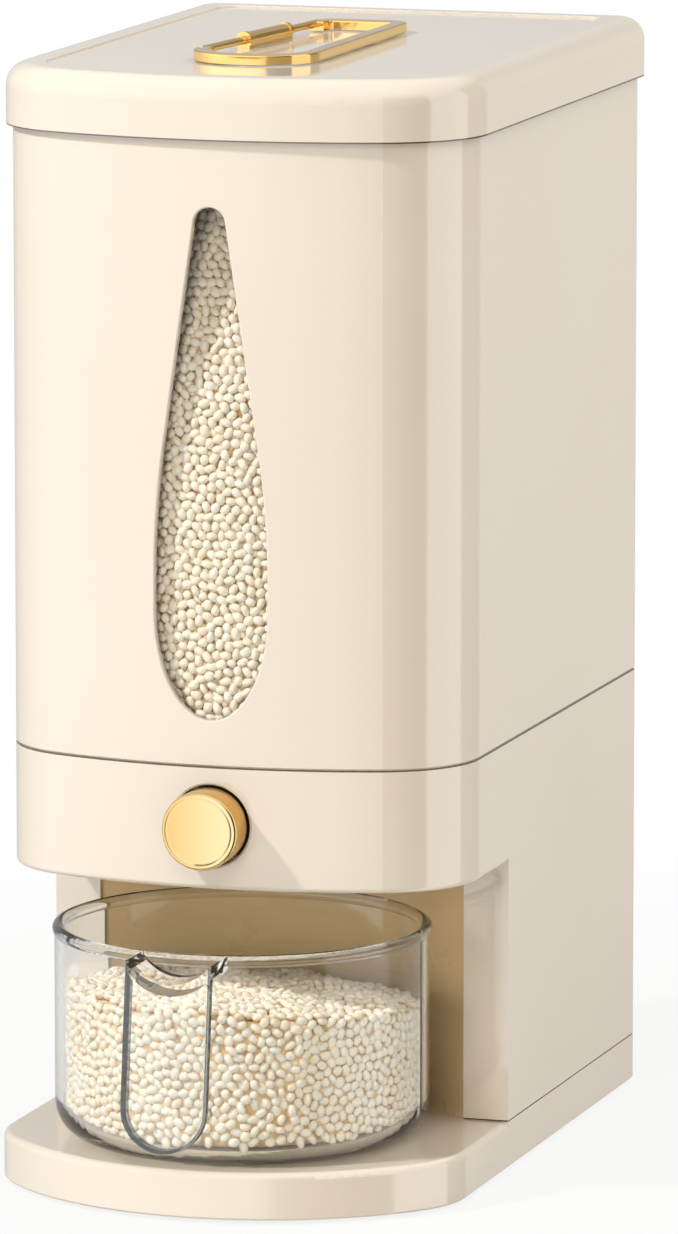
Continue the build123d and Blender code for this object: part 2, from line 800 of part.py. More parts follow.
# Stem from the button to the gate, with a raised lug under the gate's front edge
with BuildPart() as button_stem:
    with BuildSketch(front_plane(button_cavity)):
        with Locations((0, button_z)):
            Circle(stem_radius)
    extrude(amount=-(stem_lug_back - button_cavity))
    with BuildSketch(front_plane(stem_lug_front)):
        with Locations((0, button_z)):
            Rectangle(2 * stem_radius, gate_low - button_z, align=(Align.CENTER, Align.MIN))
        with Locations((0, gate_low)):
            Rectangle(stem_lug_width, stem_lug_thickness, align=(Align.CENTER, Align.MAX))
    extrude(amount=-stem_lug_length)
    with Locations((0, (stem_lug_front + stem_lug_back) / 2, gate_low)):
        Cylinder(pilot_radius, short_screw_length - gate_thickness, align=downward, mode=Mode.SUBTRACT)

# Gate: a sliding plate with its port ahead of the outlet, and a tab for the spring at the back
with BuildPart() as gate_plate:
    with BuildSketch(Plane.XY.offset(gate_low)):
        with Locations((0, gate_front)):
            Rectangle(2 * gate_half, gate_back - gate_front, align=(Align.CENTER, Align.MIN))
        with Locations((0, port_middle)):
            Rectangle(outlet_width, outlet_depth, mode=Mode.SUBTRACT)
        with Locations((0, (stem_lug_front + stem_lug_back) / 2)):
            Circle(pilot_radius, mode=Mode.SUBTRACT)
    extrude(amount=gate_thickness)
    with BuildSketch(front_plane(tab_front)):
        with Locations((0, gate_z)):
            Rectangle(2 * tab_half, gate_thickness + 2 * tab_height)
    extrude(amount=-tab_thickness)

with BuildPart() as stem_screw:
    add(pan_screws([(0, (stem_lug_front + stem_lug_back) / 2)], gate_top, short_screw_length, False))

# Return spring between the gate's tab and the guide's back wall
spring_span = spring_length - 2 * (spring_wire + spring_seat)
with BuildPart() as return_spring:
    with BuildLine() as spring_path:
        Helix(
            spring_span / spring_turns,
            spring_span,
            spring_radius,
            center=(0, gate_back + spring_wire + spring_seat, gate_z),
            direction=(0, 1, 0),
        )
    with BuildSketch(Plane(origin=spring_path.line @ 0, z_dir=spring_path.line % 0)):
        Circle(spring_wire)
    sweep()

# Lid shell: an overhanging cap with a rounded edge and a sunk top panel
with BuildPart() as lid_cavity:
    with BuildSketch(Plane.XY.offset(lid_low)):
        add(body_plan(lid_wall - lid_overhang))
    extrude(amount=lid_ceiling - lid_low)
    fillet(lid_cavity.faces().sort_by(Axis.Z)[-1].edges(), radius=lid_inside_edge)

with BuildPart() as lid_shell:
    with BuildSketch(Plane.XY.offset(lid_low)):
        add(body_plan(-lid_overhang))
    extrude(amount=lid_height)
    fillet(lid_shell.faces().sort_by(Axis.Z)[-1].edges(), radius=lid_edge)
    with BuildSketch(Plane.XY.offset(panel_top)):
        add(
            bowed_plan(
                body_front - lid_overhang + panel_inset,
                body_back + lid_overhang - panel_inset,
                half_width + lid_overhang - panel_inset,
                bow_radius + lid_overhang - panel_inset,
                corner_radius + lid_overhang - panel_inset,
                panel_back_radius,
            )
        )
    extrude(amount=panel_depth, mode=Mode.SUBTRACT)
    lid_brow = lid_shell.faces().filter_by(Plane.XY).sort_by(Axis.Z)[-1]
    fillet(lid_brow.inner_wires()[0].edges(), radius=panel_round)
    add(lid_cavity.part, mode=Mode.SUBTRACT)
    with Locations(*at_height(lid_screw_points, rim + plug_plate)):
        Cylinder(lid_boss_radius, lid_ceiling - rim - plug_plate, align=upward)
        Cylinder(pilot_radius, lid_ceiling - rim - plug_plate, align=upward, mode=Mode.SUBTRACT)
    with Locations(*at_height(stud_points, lid_ceiling)):
        Cylinder(stud_radius + stud_fit, lid_wall, align=upward, mode=Mode.SUBTRACT)

# Inner lid: a plate that rests on the bin's rim, with a plug and a groove for the seal
with BuildPart() as lid_inner:
    with BuildSketch(Plane.XY.offset(rim)):
        add(body_plan(plug_plate_inset))
    extrude(amount=plug_plate)
    with BuildSketch(Plane.XY.offset(rim - plug_depth)):
        add(body_plan(wall + plug_gap))
        add(body_plan(wall + plug_gap + plug_wall), mode=Mode.SUBTRACT)
    extrude(amount=plug_depth)
    with BuildSketch(Plane.XY.offset(rim - (plug_depth + seal_height) / 2)):
        add(body_plan(wall + plug_gap))
        add(body_plan(wall + plug_gap + seal_sink), mode=Mode.SUBTRACT)
    extrude(amount=seal_height, mode=Mode.SUBTRACT)
    with Locations(*at_height(lid_screw_points, rim)):
        Cylinder(pilot_radius, plug_plate, align=upward, mode=Mode.SUBTRACT)

with BuildPart() as lid_seal:
    with BuildSketch(Plane.XY.offset(rim - (plug_depth + seal_height) / 2)):
        add(body_plan(wall + seal_gap))
        add(body_plan(wall + plug_gap + seal_sink), mode=Mode.SUBTRACT)
    extrude(amount=seal_height)

with BuildPart() as lid_screws:
    add(pan_screws(lid_screw_points, rim, lid_ceiling - rim - screw_hole_gap, True))

# Barrel hinge of the pull, standing on the lid's panel with two studs through it
with BuildPart() as pull_bracket:
    with BuildSketch(hinge_plane(-barrel_length / 2)):
        Circle(barrel_radius)
        Rectangle(barrel_foot, rod_rise, align=(Align.CENTER, Align.MAX))
    extrude(amount=-barrel_length)
    for along in (-barrel_length / 2, barrel_length / 2 - collar_width):
        with BuildSketch(hinge_plane(along)):
            Circle(collar_radius)
            with Locations((0, -rod_rise)):
                Rectangle(
                    2 * collar_radius, collar_radius, align=(Align.CENTER, Align.MAX), mode=Mode.SUBTRACT
                )
        extrude(amount=-collar_width)
    with BuildSketch(hinge_plane(-barrel_length / 2)):
        Circle(rod_radius + rod_fit)
    extrude(amount=-barrel_length, mode=Mode.SUBTRACT)
    with Locations(*at_height(stud_points, panel_top)):
        Cylinder(stud_radius, lid_wall + nut_height + stud_spare, align=downward)

# Hexagon nuts that hold the studs under the lid
with BuildPart() as pull_nuts:
    with BuildSketch(Plane.XY.offset(lid_ceiling)):
        with Locations(*stud_points):
            RegularPolygon(nut_width / 2, 6, major_radius=False)
            Circle(stud_radius + stud_fit, mode=Mode.SUBTRACT)
    extrude(amount=-nut_height)

# Ring of the pull: a flat bar on three sides and a round rod through the barrel on the fourth
rod_front = (hinge_y - pull_front - rod_front_end) / hinge_along[1]
rod_back = (pull_back - rod_back_end - hinge_y) / hinge_along[1]
rod_middle = (rod_back - rod_front) / 2
with BuildPart() as pull_ring:
    with BuildSketch(Plane.XY.offset(rod_z - pull_drop - pull_height / 2)) as ring_plan:
        with BuildLine():
            Polyline(
                (rod_edge(pull_front), pull_front),
                (pull_side, pull_front),
                (pull_side, pull_back),
                (rod_edge(pull_back), pull_back),
                close=True,
            )
        make_face()
        fillet(ring_plan.vertices().group_by(Axis.Y)[0], radius=pull_front_corner)
        fillet(ring_plan.vertices().group_by(Axis.Y)[-1], radius=pull_back_corner)
        offset(amount=-pull_bar, mode=Mode.SUBTRACT)
        with Locations((rod_middle * hinge_along[0] - hinge_side, hinge_y + rod_middle * hinge_along[1])):
            Rectangle(
                2 * (pull_bar + rod_radius), rod_front + rod_back, rotation=-hinge_turn, mode=Mode.SUBTRACT
            )
    extrude(amount=pull_height)
    fillet(pull_ring.faces().sort_by(Axis.Z)[-1].outer_wire().edges(), radius=pull_round)
    with BuildSketch(hinge_plane(-rod_front - rod_bite)):
        Circle(rod_radius)
    extrude(amount=-(rod_front + rod_back + 2 * rod_bite))

# Measuring cup of clear glass, with a hollowed thumb rest and a tongue handle
inside_round_z = bay_floor + cup_floor + cup_foot - cup_wall
handle_half = handle_width / 2
tongue_drop = (cup_height - handle_lift) / cos(radians(handle_lean)) - handle_half
tongue_plane = Plane(
    origin=(0, handle_front, cup_rim),
    x_dir=(1, 0, 0),
    z_dir=(0, -cos(radians(handle_lean)), sin(radians(handle_lean))),
)
with BuildPart() as measuring_cup:
    with BuildSketch(front_plane(handle_front)):
        with BuildLine():
            ThreePointArc((-handle_half, cup_rim), (0, cup_rim - dish_depth), (handle_half, cup_rim))
            Line((handle_half, cup_rim), (handle_half, cup_rim - handle_thickness))
            ThreePointArc(
                (handle_half, cup_rim - handle_thickness),
                (0, cup_rim - dish_depth - handle_thickness),
                (-handle_half, cup_rim - handle_thickness),
            )
            Line((-handle_half, cup_rim - handle_thickness), (-handle_half, cup_rim))
        make_face()
    extrude(amount=-(handle_reach + 2 * cup_wall))
    with BuildSketch(tongue_plane):
        with BuildLine():
            ThreePointArc((-handle_half, 0), (0, -dish_depth), (handle_half, 0))
            Line((handle_half, 0), (handle_half, -tongue_drop))
            CenterArc((0, -tongue_drop), handle_half, 0, -180)
            Line((-handle_half, -tongue_drop), (-handle_half, 0))
        make_face()
    extrude(amount=-handle_thickness)
    fillet(measuring_cup.faces().sort_by(Axis.Y)[0].edges(), radius=handle_round)
    with Locations((0, cup_y, bay_floor)):
        Cylinder(cup_radius - cup_wall / 2, 2 * cup_height, align=upward, mode=Mode.SUBTRACT)
    with BuildSketch(front_plane(cup_y)):
        with BuildLine():
            Line((0, bay_floor), (cup_radius - cup_foot, bay_floor))
            CenterArc((cup_radius - cup_foot, bay_floor + cup_foot), cup_foot, 270, 90)
            Line((cup_radius, bay_floor + cup_foot), (cup_radius, cup_rim - 2 * cup_bead))
            ThreePointArc(
                (cup_radius, cup_rim - 2 * cup_bead),
                (cup_radius + cup_bead_proud, cup_rim - cup_bead),
                (cup_radius - cup_wall / 2, cup_rim),
            )
            ThreePointArc(
                (cup_radius - cup_wall / 2, cup_rim),
                (cup_radius - cup_wall - cup_bead_proud, cup_rim - cup_bead),
                (cup_radius - cup_wall, cup_rim - 2 * cup_bead),
            )
            Line((cup_radius - cup_wall, cup_rim - 2 * cup_bead), (cup_radius - cup_wall, inside_round_z))
            CenterArc((cup_radius - cup_foot, inside_round_z), cup_foot - cup_wall, 0, -90)
            Line((cup_radius - cup_foot, bay_floor + cup_floor), (0, bay_floor + cup_floor))
            Line((0, bay_floor + cup_floor), (0, bay_floor))
        make_face()
    revolve(axis=Axis((0, cup_y, 0), (0, 0, 1)))

pieces = {
    "base_plate": base_plate,
    "foot_pads": foot_pads,
    "base_screws": base_screws,
    "lower_housing": lower_housing,
    "bay_liner": bay_liner,
    "rice_bin": rice_bin,
    "bin_screws": bin_screws,
    "hopper_funnel": hopper_funnel,
    "window_pane": window_pane,
    "window_seal": window_seal,
    "gate_guide": gate_guide,
    "gate_cover": gate_cover,
    "gate_screws": gate_screws,
    "guide_screws": guide_screws,
    "button_sleeve": button_sleeve,
    "button_cap": button_cap,
    "button_stem": button_stem,
    "gate_plate": gate_plate,
    "stem_screw": stem_screw,
    "return_spring": return_spring,
    "lid_shell": lid_shell,
    "lid_inner": lid_inner,
    "lid_seal": lid_seal,
    "lid_screws": lid_screws,
    "pull_bracket": pull_bracket,
    "pull_nuts": pull_nuts,
    "pull_ring": pull_ring,
    "measuring_cup": measuring_cup,
}
os.makedirs("parts", exist_ok=True)
for name, piece in pieces.items():
    piece.part.label = name
    export_step(piece.part, f"parts/{name}.step")
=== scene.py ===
import math

import bpy
import numpy as np
from bpy.props import FloatProperty, FloatVectorProperty, IntProperty, PointerProperty
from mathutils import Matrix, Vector


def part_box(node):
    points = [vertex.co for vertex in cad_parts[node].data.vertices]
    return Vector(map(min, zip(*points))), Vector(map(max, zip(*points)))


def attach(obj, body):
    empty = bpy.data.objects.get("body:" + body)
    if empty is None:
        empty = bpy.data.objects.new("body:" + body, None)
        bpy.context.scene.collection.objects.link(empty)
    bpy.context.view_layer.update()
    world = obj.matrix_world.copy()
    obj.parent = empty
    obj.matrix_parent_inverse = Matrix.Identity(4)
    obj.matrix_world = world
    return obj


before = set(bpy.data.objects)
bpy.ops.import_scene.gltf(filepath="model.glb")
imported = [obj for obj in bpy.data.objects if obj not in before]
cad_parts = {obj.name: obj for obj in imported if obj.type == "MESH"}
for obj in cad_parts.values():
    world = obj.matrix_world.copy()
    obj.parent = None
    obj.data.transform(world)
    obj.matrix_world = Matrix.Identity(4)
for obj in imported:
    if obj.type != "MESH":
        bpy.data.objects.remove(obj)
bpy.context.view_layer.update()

bl_info = {
    "name": "Rice dispenser",
    "version": (1, 0, 0),
    "blender": (4, 5, 0),
    "location": "3D View > Sidebar > Rice dispenser",
    "description": "Finishes the packed rice dispenser: shells, metal, glass, rice and studio",
    "category": "Object",
}


# Property helpers


def length(name, description, metres):
    """A size in metres."""
    return FloatProperty(name=name, description=description, default=metres, unit="LENGTH", precision=5)


def turn(name, description, degrees):
    """An angle, given in degrees."""
    return FloatProperty(
        name=name, description=description, default=math.radians(degrees), subtype="ANGLE"
    )


def share(name, description, value):
    """A share from 0 to 1."""
    return FloatProperty(
        name=name, description=description, default=value, min=0.0, max=1.0, subtype="FACTOR"
    )


def level(name, description, value):
    """A plain number, such as a lamp's power."""
    return FloatProperty(name=name, description=description, default=value)


def colour(name, description, rgb):
    """A colour in linear light."""
    return FloatVectorProperty(
        name=name, description=description, default=rgb, size=3, min=0.0, max=1.0, subtype="COLOR"
    )


class StudioSettings(bpy.types.PropertyGroup):
    """Camera, lamps, floor and background."""

    lens: level("Lens", "Focal length in millimetres on a 36 mm sensor", 292.97)
    azimuth: turn("Camera azimuth", "How far the camera stands to the right of the front", 17.4)
    elevation: turn("Camera elevation", "How far the camera stands above the horizon", 9.24)
    distance: length("Camera distance", "From the aim point to the camera", 3.91994)
    aim_height: length("Aim height", "Height that the camera looks at", 0.20966)
    aim_side: length("Aim offset", "Sideways step of the aim point, to the camera's right", 0.01439)
    aim_back: length("Aim depth", "From the bin's front back to the aim point", 0.11608)
    key_azimuth: turn("Key azimuth", "Direction of the key lamp, from the front to the right", -49.0)
    key_elevation: turn("Key elevation", "Height of the key lamp above the horizon", 43.0)
    key_distance: length("Key distance", "From the object to the key lamp", 2.2)
    key_size: length("Key size", "Side of the key lamp's square face", 0.14)
    key_power: level("Key power", "Power of the key lamp in watts", 32.0)
    fill_azimuth: turn("Fill azimuth", "Direction of the fill lamp, from the front to the right", -8.0)
    fill_elevation: turn("Fill elevation", "Height of the fill lamp above the horizon", 5.0)
    fill_distance: length("Fill distance", "From the object to the fill lamp", 2.6)
    fill_size: length("Fill size", "Side of the fill lamp's square face", 0.7)
    fill_power: level("Fill power", "Power of the fill lamp in watts", 15.5)
    high_azimuth: turn("High azimuth", "Direction of the high lamp, from the front to the right", 5.0)
    high_elevation: turn("High elevation", "Height of the high lamp above the horizon", 36.0)
    high_distance: length("High distance", "From the object to the high lamp", 2.2)
    high_size: length("High size", "Side of the high lamp's square face", 0.8)
    high_power: level("High power", "Power of the high lamp in watts", 8.5)
    ambient: level("Ambient", "Radiance of the studio's even light", 0.30)
    shade: colour("Shade", "Colour of the even light and of the fill and high lamps", (1.0, 0.935, 0.835))
    ambient_side: level("Side ambient", "Radiance of the even light from the right", 1.52)
    front_box: level("Front softbox", "Radiance of the softbox in front that the gloss mirrors", 1.75)
    side_box: level("Side softbox", "Radiance of the narrow softbox on the right in the gloss", 1.25)
    side_wall: level("Side wall", "Radiance of the studio's right side in the gloss", 0.6)
    back_wall: level("Back wall", "Radiance of the studio behind the object in the gloss", 0.62)
    overhead: level("Overhead", "Radiance of the studio's ceiling in the gloss", 1.1)
    dark: level("Dark flags", "Radiance of the studio's dark parts in the gloss", 0.05)
    floor_colour: level("Floor", "Grey of the floor", 0.72)
    floor_shade: share("Floor shade", "Share of the floor's own light and shadow that the camera sees", 0.14)
    floor_inner: length("Floor solid radius", "Inside this radius the floor is solid", 0.34)
    floor_outer: length("Floor fade radius", "At this radius the floor has faded into white", 0.75)


class ShellSettings(bpy.types.PropertyGroup):
    """Glossy ivory mouldings."""

    ivory: colour("Ivory", "Main colour of the mouldings", (0.755, 0.682, 0.582))
    ivory_deep: colour("Deep ivory", "Slightly deeper patches of the same colour", (0.74, 0.663, 0.56))
    roughness: share("Roughness", "Roughness of the moulded gloss", 0.07)
    gloss_index: level("Gloss", "Index of refraction of the polished skin", 1.9)
    # Painted light: the wall behind the cup is warmer than the ivory, standing in for warm bounce light.
    bay_painted_bounce: colour("Bay wall", "Main colour of the wall behind the cup", (0.96, 0.74, 0.43))
    bay_deep_painted_bounce: colour("Deep bay wall", "Deeper patches of the wall behind the cup", (0.94, 0.71, 0.40))
    bay_roughness: share("Bay roughness", "Roughness of the wall behind the cup", 0.3)
    bay_index: level("Bay gloss", "Index of refraction of the wall behind the cup", 1.6)
    # Painted shade: the dark line at a seam and under the lid's lower edge.
    seam: colour("Seam", "Colour in the shadow of a seam", (0.10, 0.07, 0.045))
    seam_shade_width: length("Seam width", "Height of a seam's dark line", 0.0006)
    seam_chamfer: length("Seam chamfer", "Height of the housing's chamfer at a seam", 0.00065)


class WorksSettings(bpy.types.PropertyGroup):
    """Inner mouldings, feet, seals, screws and spring."""

    white: colour("White", "Main colour of the inner mouldings", (0.80, 0.79, 0.75))
    white_deep: colour("Deep white", "Deeper patches of the inner mouldings", (0.76, 0.75, 0.71))
    rubber: colour("Rubber", "Main colour of the feet", (0.09, 0.088, 0.082))
    rubber_deep: colour("Deep rubber", "Deeper patches of the feet", (0.07, 0.068, 0.062))
    silicone: colour("Silicone", "Main colour of the seals", (0.72, 0.71, 0.67))
    silicone_deep: colour("Deep silicone", "Deeper patches of the seals", (0.68, 0.67, 0.63))
    zinc: colour("Zinc", "Main colour of the screws and the spring", (0.66, 0.66, 0.67))
    zinc_deep: colour("Deep zinc", "Deeper patches of the screws and the spring", (0.55, 0.55, 0.57))


class GoldSettings(bpy.types.PropertyGroup):
    """Gold button in its sleeve and gold pull."""

    # Painted reflection: the face runs from the left colour to the lighter right one, and the side is deeper,
    # standing in for the light that the gold mirrors.
    face: colour("Face", "Colour of the button's face on its left", (0.62, 0.43, 0.18))
    face_painted_highlight: colour("Light face", "Colour of the button's face on its right", (0.74, 0.57, 0.31))
    barrel_painted_shade: colour("Barrel", "Colour of the button's side", (0.80, 0.47, 0.10))
    groove: length("Groove", "Radius of the turned groove on the button's face", 0.0132)
    groove_width: length("Groove width", "Width of the turned groove", 0.0008)
    sleeve: colour("Sleeve", "Main colour of the dark sleeve", (0.012, 0.010, 0.008))
    sleeve_deep: colour("Deep sleeve", "Deeper patches of the dark sleeve", (0.008, 0.007, 0.006))
    lip: length("Sleeve lip", "Radius at which the dark sleeve turns ivory", 0.01585)
    # Painted light and shade: the upright faces take a lighter gold and the level faces a deeper one,
    # standing in for the reflections they show.
    pull_side_painted_light: colour("Pull side", "Colour of the pull's upright faces", (0.93, 0.65, 0.24))
    pull_top_painted_shade: colour("Pull top", "Colour of the pull's level faces", (0.62, 0.37, 0.09))


class GlassSettings(bpy.types.PropertyGroup):
    """Clear cup and window pane."""

    pane: colour("Pane", "Tint of the window pane", (0.995, 0.993, 0.985))
    pane_index: level("Pane index", "Index of refraction of the window pane", 1.2)
    tint: colour("Glass", "Tint of the cup's glass", (0.99, 0.995, 0.99))
    index: level("Glass index", "Index of refraction of the cup's glass", 1.48)
    # Painted shade: this tint darkens the cup's tongue outline and its rim, standing in for the dark look of
    # polished glass edges.
    edge: colour("Glass edge", "Tint of glass seen through a polished edge", (0.11, 0.13, 0.15))
    tongue_half: length("Tongue half width", "From the tongue's middle to its side", 0.017)
    tongue_drop: length("Tongue drop", "From the cup's rim to the middle of the tongue's round end", 0.0547)
    tongue_reach: length("Tongue reach", "Depth of the tongue in front of the cup's wall", 0.0175)
    edge_width: length("Edge width", "Width of the dark outline on the tongue's sides", 0.0017)
    rim: length("Rim", "Height of the cup's beaded rim", 0.0022)
    # Share of that painted shade on the rim.
    rim_shade_share: share("Rim share", "How much of the edge's tint the rim takes", 0.4)
    edge_shift: length("Edge shift", "How much wider the outline is on the left", 0.0009)


class RiceSettings(bpy.types.PropertyGroup):
    """Stored and dispensed rice."""

    seed: IntProperty(name="Seed", description="Seed of every grain's place", default=11)
    grain_length: length("Grain length", "Long axis of a grain", 0.0047)
    grain_width: length("Grain width", "Middle axis of a grain", 0.0039)
    grain_depth: length("Grain depth", "Short axis of a grain", 0.0031)
    spacing: length("Spacing", "Distance between the grains' middles in a layer", 0.0041)
    pale: colour("Pale grain", "Colour of the palest grains", (0.99, 0.955, 0.86))
    warm: colour("Warm grain", "Colour of the warmest grains", (0.98, 0.90, 0.73))
    # Painted shade: the colour of a grain's shaded side between its neighbours.
    crevice_shade: colour("Crevice", "Colour of a grain's side, deep between its neighbours", (0.84, 0.59, 0.31))
    # Painted shade: the dark brown between and behind the grains.
    bed: colour("Bed", "Colour between the grains", (0.74, 0.50, 0.24))
    bow_radius: length("Bow radius", "Outer radius of the bin's bowed front", 0.203)
    window_inset: length("Window inset", "From the bin's face to the inside of its pane", 0.0051)
    window_slope: length("Window slope", "How far the rice falls back from the pane at its top", 0.013)
    bin_fill: length("Bin fill", "Height of the stored rice", 0.392)
    bin_wall: length("Bin wall", "From the bin's side to the rice", 0.0028)
    cup_radius: length("Cup radius", "Outer radius of the cup", 0.0724)
    cup_wall: length("Cup wall", "Thickness of the cup's glass", 0.003)
    cup_floor: length("Cup floor", "Thickness of the cup's bottom", 0.0045)
    cup_curl: length("Cup curl", "Inner radius between the cup's wall and bottom", 0.011)
    cup_fill: length("Cup fill", "Height of the rice in the cup", 0.0745)
    cup_tilt: length("Cup tilt", "Rise of the heap from its middle to its front left edge", 0.006)


class DispenserSettings(bpy.types.PropertyGroup):
    """All settings of the dispenser."""

    studio: PointerProperty(type=StudioSettings)
    shell: PointerProperty(type=ShellSettings)
    works: PointerProperty(type=WorksSettings)
    gold: PointerProperty(type=GoldSettings)
    glass: PointerProperty(type=GlassSettings)
    rice: PointerProperty(type=RiceSettings)


def settings():
    """The scene's own settings."""
    return bpy.context.scene.rice_dispenser


# Shader helpers


def add_node(tree, kind, fields=None, **inputs):
    """A new shader node. Fields are its own options, and inputs are values or outputs for its sockets."""
    made = tree.nodes.new("ShaderNode" + kind)
    for name, value in (fields or {}).items():
        setattr(made, name, value)
    for name, value in inputs.items():
        feed(tree, made.inputs[name], value)
    return made


def feed(tree, socket, value):
    """Joins an output to the socket, or sets the socket's own value."""
    if isinstance(value, bpy.types.NodeSocket):
        tree.links.new(value, socket)
    elif socket.type == "RGBA":
        socket.default_value = (*value, 1.0)
    else:
        socket.default_value = value


def ramp(tree, fac, stops):
    """Colours at positions from 0 to 1, blended in between."""
    made = add_node(tree, "ValToRGB", Fac=fac)
    elements = made.color_ramp.elements
    while len(elements) < len(stops):
        elements.new(1.0)
    for element, (place, rgb) in zip(elements, stops):
        element.position = place
        element.color = (*rgb, 1.0)
    return made.outputs["Color"]


def calc(tree, operation, *values):
    """One step of arithmetic on outputs or numbers."""
    made = add_node(tree, "Math", {"operation": operation})
    for socket, value in zip(made.inputs, values):
        feed(tree, socket, value)
    return made.outputs[0]


def axes(tree, vector):
    """The X, Y and Z of a vector."""
    return add_node(tree, "SeparateXYZ", Vector=vector).outputs


def size_of(tree, vector):
    """The length of a vector."""
    return add_node(tree, "VectorMath", {"operation": "LENGTH"}, Vector=vector).outputs["Value"]


def flat_size(tree, x, z):
    """The length of a vector in the plane of X and Z: the root of x squared plus z squared."""
    return size_of(tree, add_node(tree, "CombineXYZ", X=x, Z=z).outputs["Vector"])


def from_axis(tree, where, height):
    """Distance from the line along Y through x = 0 at that height."""
    parts = axes(tree, where)
    return flat_size(tree, parts["X"], calc(tree, "SUBTRACT", parts["Z"], height))


def facing(tree):
    """The X, Y and Z of the surface's own direction, on the object's coordinates."""
    return axes(tree, add_node(tree, "TexCoord").outputs["Normal"])


def spread(tree, value, low, high):
    """A 0 to 1 value, spread between low and high."""
    made = add_node(tree, "MapRange", **{"Value": value, "To Min": low, "To Max": high})
    return made.outputs["Result"]


def between(tree, value, low, high, kind="LINEAR"):
    """How far a value lies from low to high, as a share from 0 to 1."""
    ends = {"Value": value, "From Min": low, "From Max": high}
    return add_node(tree, "MapRange", {"interpolation_type": kind}, **ends).outputs["Result"]


def mixed(tree, fac, first, second):
    """A blend of two colours."""
    made = add_node(tree, "Mix", {"data_type": "RGBA"}, Factor=fac)
    feed(tree, made.inputs[6], first)
    feed(tree, made.inputs[7], second)
    return made.outputs[2]


def blend_shaders(tree, fac, first, second, output):
    """Blends two shaders into the surface of the output node."""
    blend = add_node(tree, "MixShader", Fac=fac)
    tree.links.new(first, blend.inputs[1])
    tree.links.new(second, blend.inputs[2])
    tree.links.new(blend.outputs["Shader"], tree.nodes[output].inputs["Surface"])


def noise(tree, where, cells, detail=2.0):
    """Soft noise of so many cells a metre on the object's own coordinates."""
    return add_node(tree, "TexNoise", Vector=where, Scale=cells, Detail=detail).outputs["Fac"]


def clouds(tree, drift, deep, pale):
    """Soft clouds: the deep colour where the noise is low, the pale one where it is high."""
    return ramp(tree, drift, [(0.3, deep), (0.7, pale)])


def new_material(name):
    """A material with one Principled shader. Returns it, its nodes, the shader and object coordinates."""
    made = bpy.data.materials.new(name)
    made.use_nodes = True
    tree = made.node_tree
    where = add_node(tree, "TexCoord").outputs["Object"]
    return made, tree, tree.nodes["Principled BSDF"], where


def bump(tree, height, strength, distance):
    """A bump from a height value, distance deep in metres."""
    return add_node(tree, "Bump", Height=height, Strength=strength, Distance=distance).outputs["Normal"]


# Materials


def ivory_plastic(name, pale, deep, roughness, index, shade_heights=()):
    """Glossy ivory moulding: faint clouds of deeper colour and a fine moulded ripple under the polish.

    At the given heights it takes the dark colour of a shadowed gap, a painted shade line.
    """
    look = settings().shell
    made, tree, shader, where = new_material(name)
    tone = clouds(tree, noise(tree, where, cells=9.0), deep, pale)
    for height in shade_heights:
        near = calc(tree, "COMPARE", axes(tree, where)["Z"], height, look.seam_shade_width / 2)
        tone = mixed(tree, near, tone, look.seam)
    feed(tree, shader.inputs["Base Color"], tone)
    grain = noise(tree, where, cells=60.0)
    feed(tree, shader.inputs["Roughness"], spread(tree, grain, 0.75 * roughness, 1.25 * roughness))
    ripple = bump(tree, noise(tree, where, cells=420.0), strength=0.03, distance=0.0001)
    feed(tree, shader.inputs["Normal"], ripple)
    shader.inputs["IOR"].default_value = index
    return made


def moulded_plastic(name, pale, deep, roughness):
    """Plain moulded plastic with a fine spark-eroded texture."""
    made, tree, shader, where = new_material(name)
    feed(tree, shader.inputs["Base Color"], clouds(tree, noise(tree, where, cells=25.0), deep, pale))
    texture = noise(tree, where, cells=1600.0)
    feed(tree, shader.inputs["Roughness"], spread(tree, texture, roughness - 0.06, roughness + 0.06))
    feed(tree, shader.inputs["Normal"], bump(tree, texture, strength=0.15, distance=0.0001))
    return made


def zinc_steel():
    """Plated steel: colour and polish drift a little over the surface."""
    look = settings().works
    made, tree, shader, where = new_material("zinc_steel")
    drift = noise(tree, where, cells=400.0)
    feed(tree, shader.inputs["Base Color"], clouds(tree, drift, look.zinc_deep, look.zinc))
    feed(tree, shader.inputs["Roughness"], spread(tree, drift, 0.24, 0.36))
    shader.inputs["Metallic"].default_value = 1.0
    return made


def button_gold():
    """Turned gold: a satin face that lightens to the right as a painted reflection, a groove inside its rim
    and a deeper side as painted shade.
    """
    look = settings().gold
    made, tree, shader, where = new_material("satin_gold")
    low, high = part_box("button_cap")
    # Painted reflection: the face's colour lightens from left to right, and the side takes a deeper colour as
    # painted shade.
    across = between(tree, axes(tree, where)["X"], low.x, high.x)
    face = ramp(tree, across, [(0.15, look.face), (0.75, look.face_painted_highlight)])
    ahead = calc(tree, "MULTIPLY", facing(tree)["Y"], -1.0)
    on_face = calc(tree, "GREATER_THAN", ahead, 0.6)
    feed(tree, shader.inputs["Base Color"], mixed(tree, on_face, look.barrel_painted_shade, face))
    reach = from_axis(tree, where, (low.z + high.z) / 2)
    groove = calc(tree, "ABSOLUTE", calc(tree, "SUBTRACT", reach, look.groove))
    dip = calc(tree, "SMOOTH_MIN", calc(tree, "DIVIDE", groove, look.groove_width), 1.0, 0.3)
    feed(tree, shader.inputs["Normal"], bump(tree, dip, strength=1.0, distance=0.0003))
    feed(tree, shader.inputs["Roughness"], spread(tree, noise(tree, where, cells=30.0), 0.14, 0.2))
    shader.inputs["Metallic"].default_value = 1.0
    return made


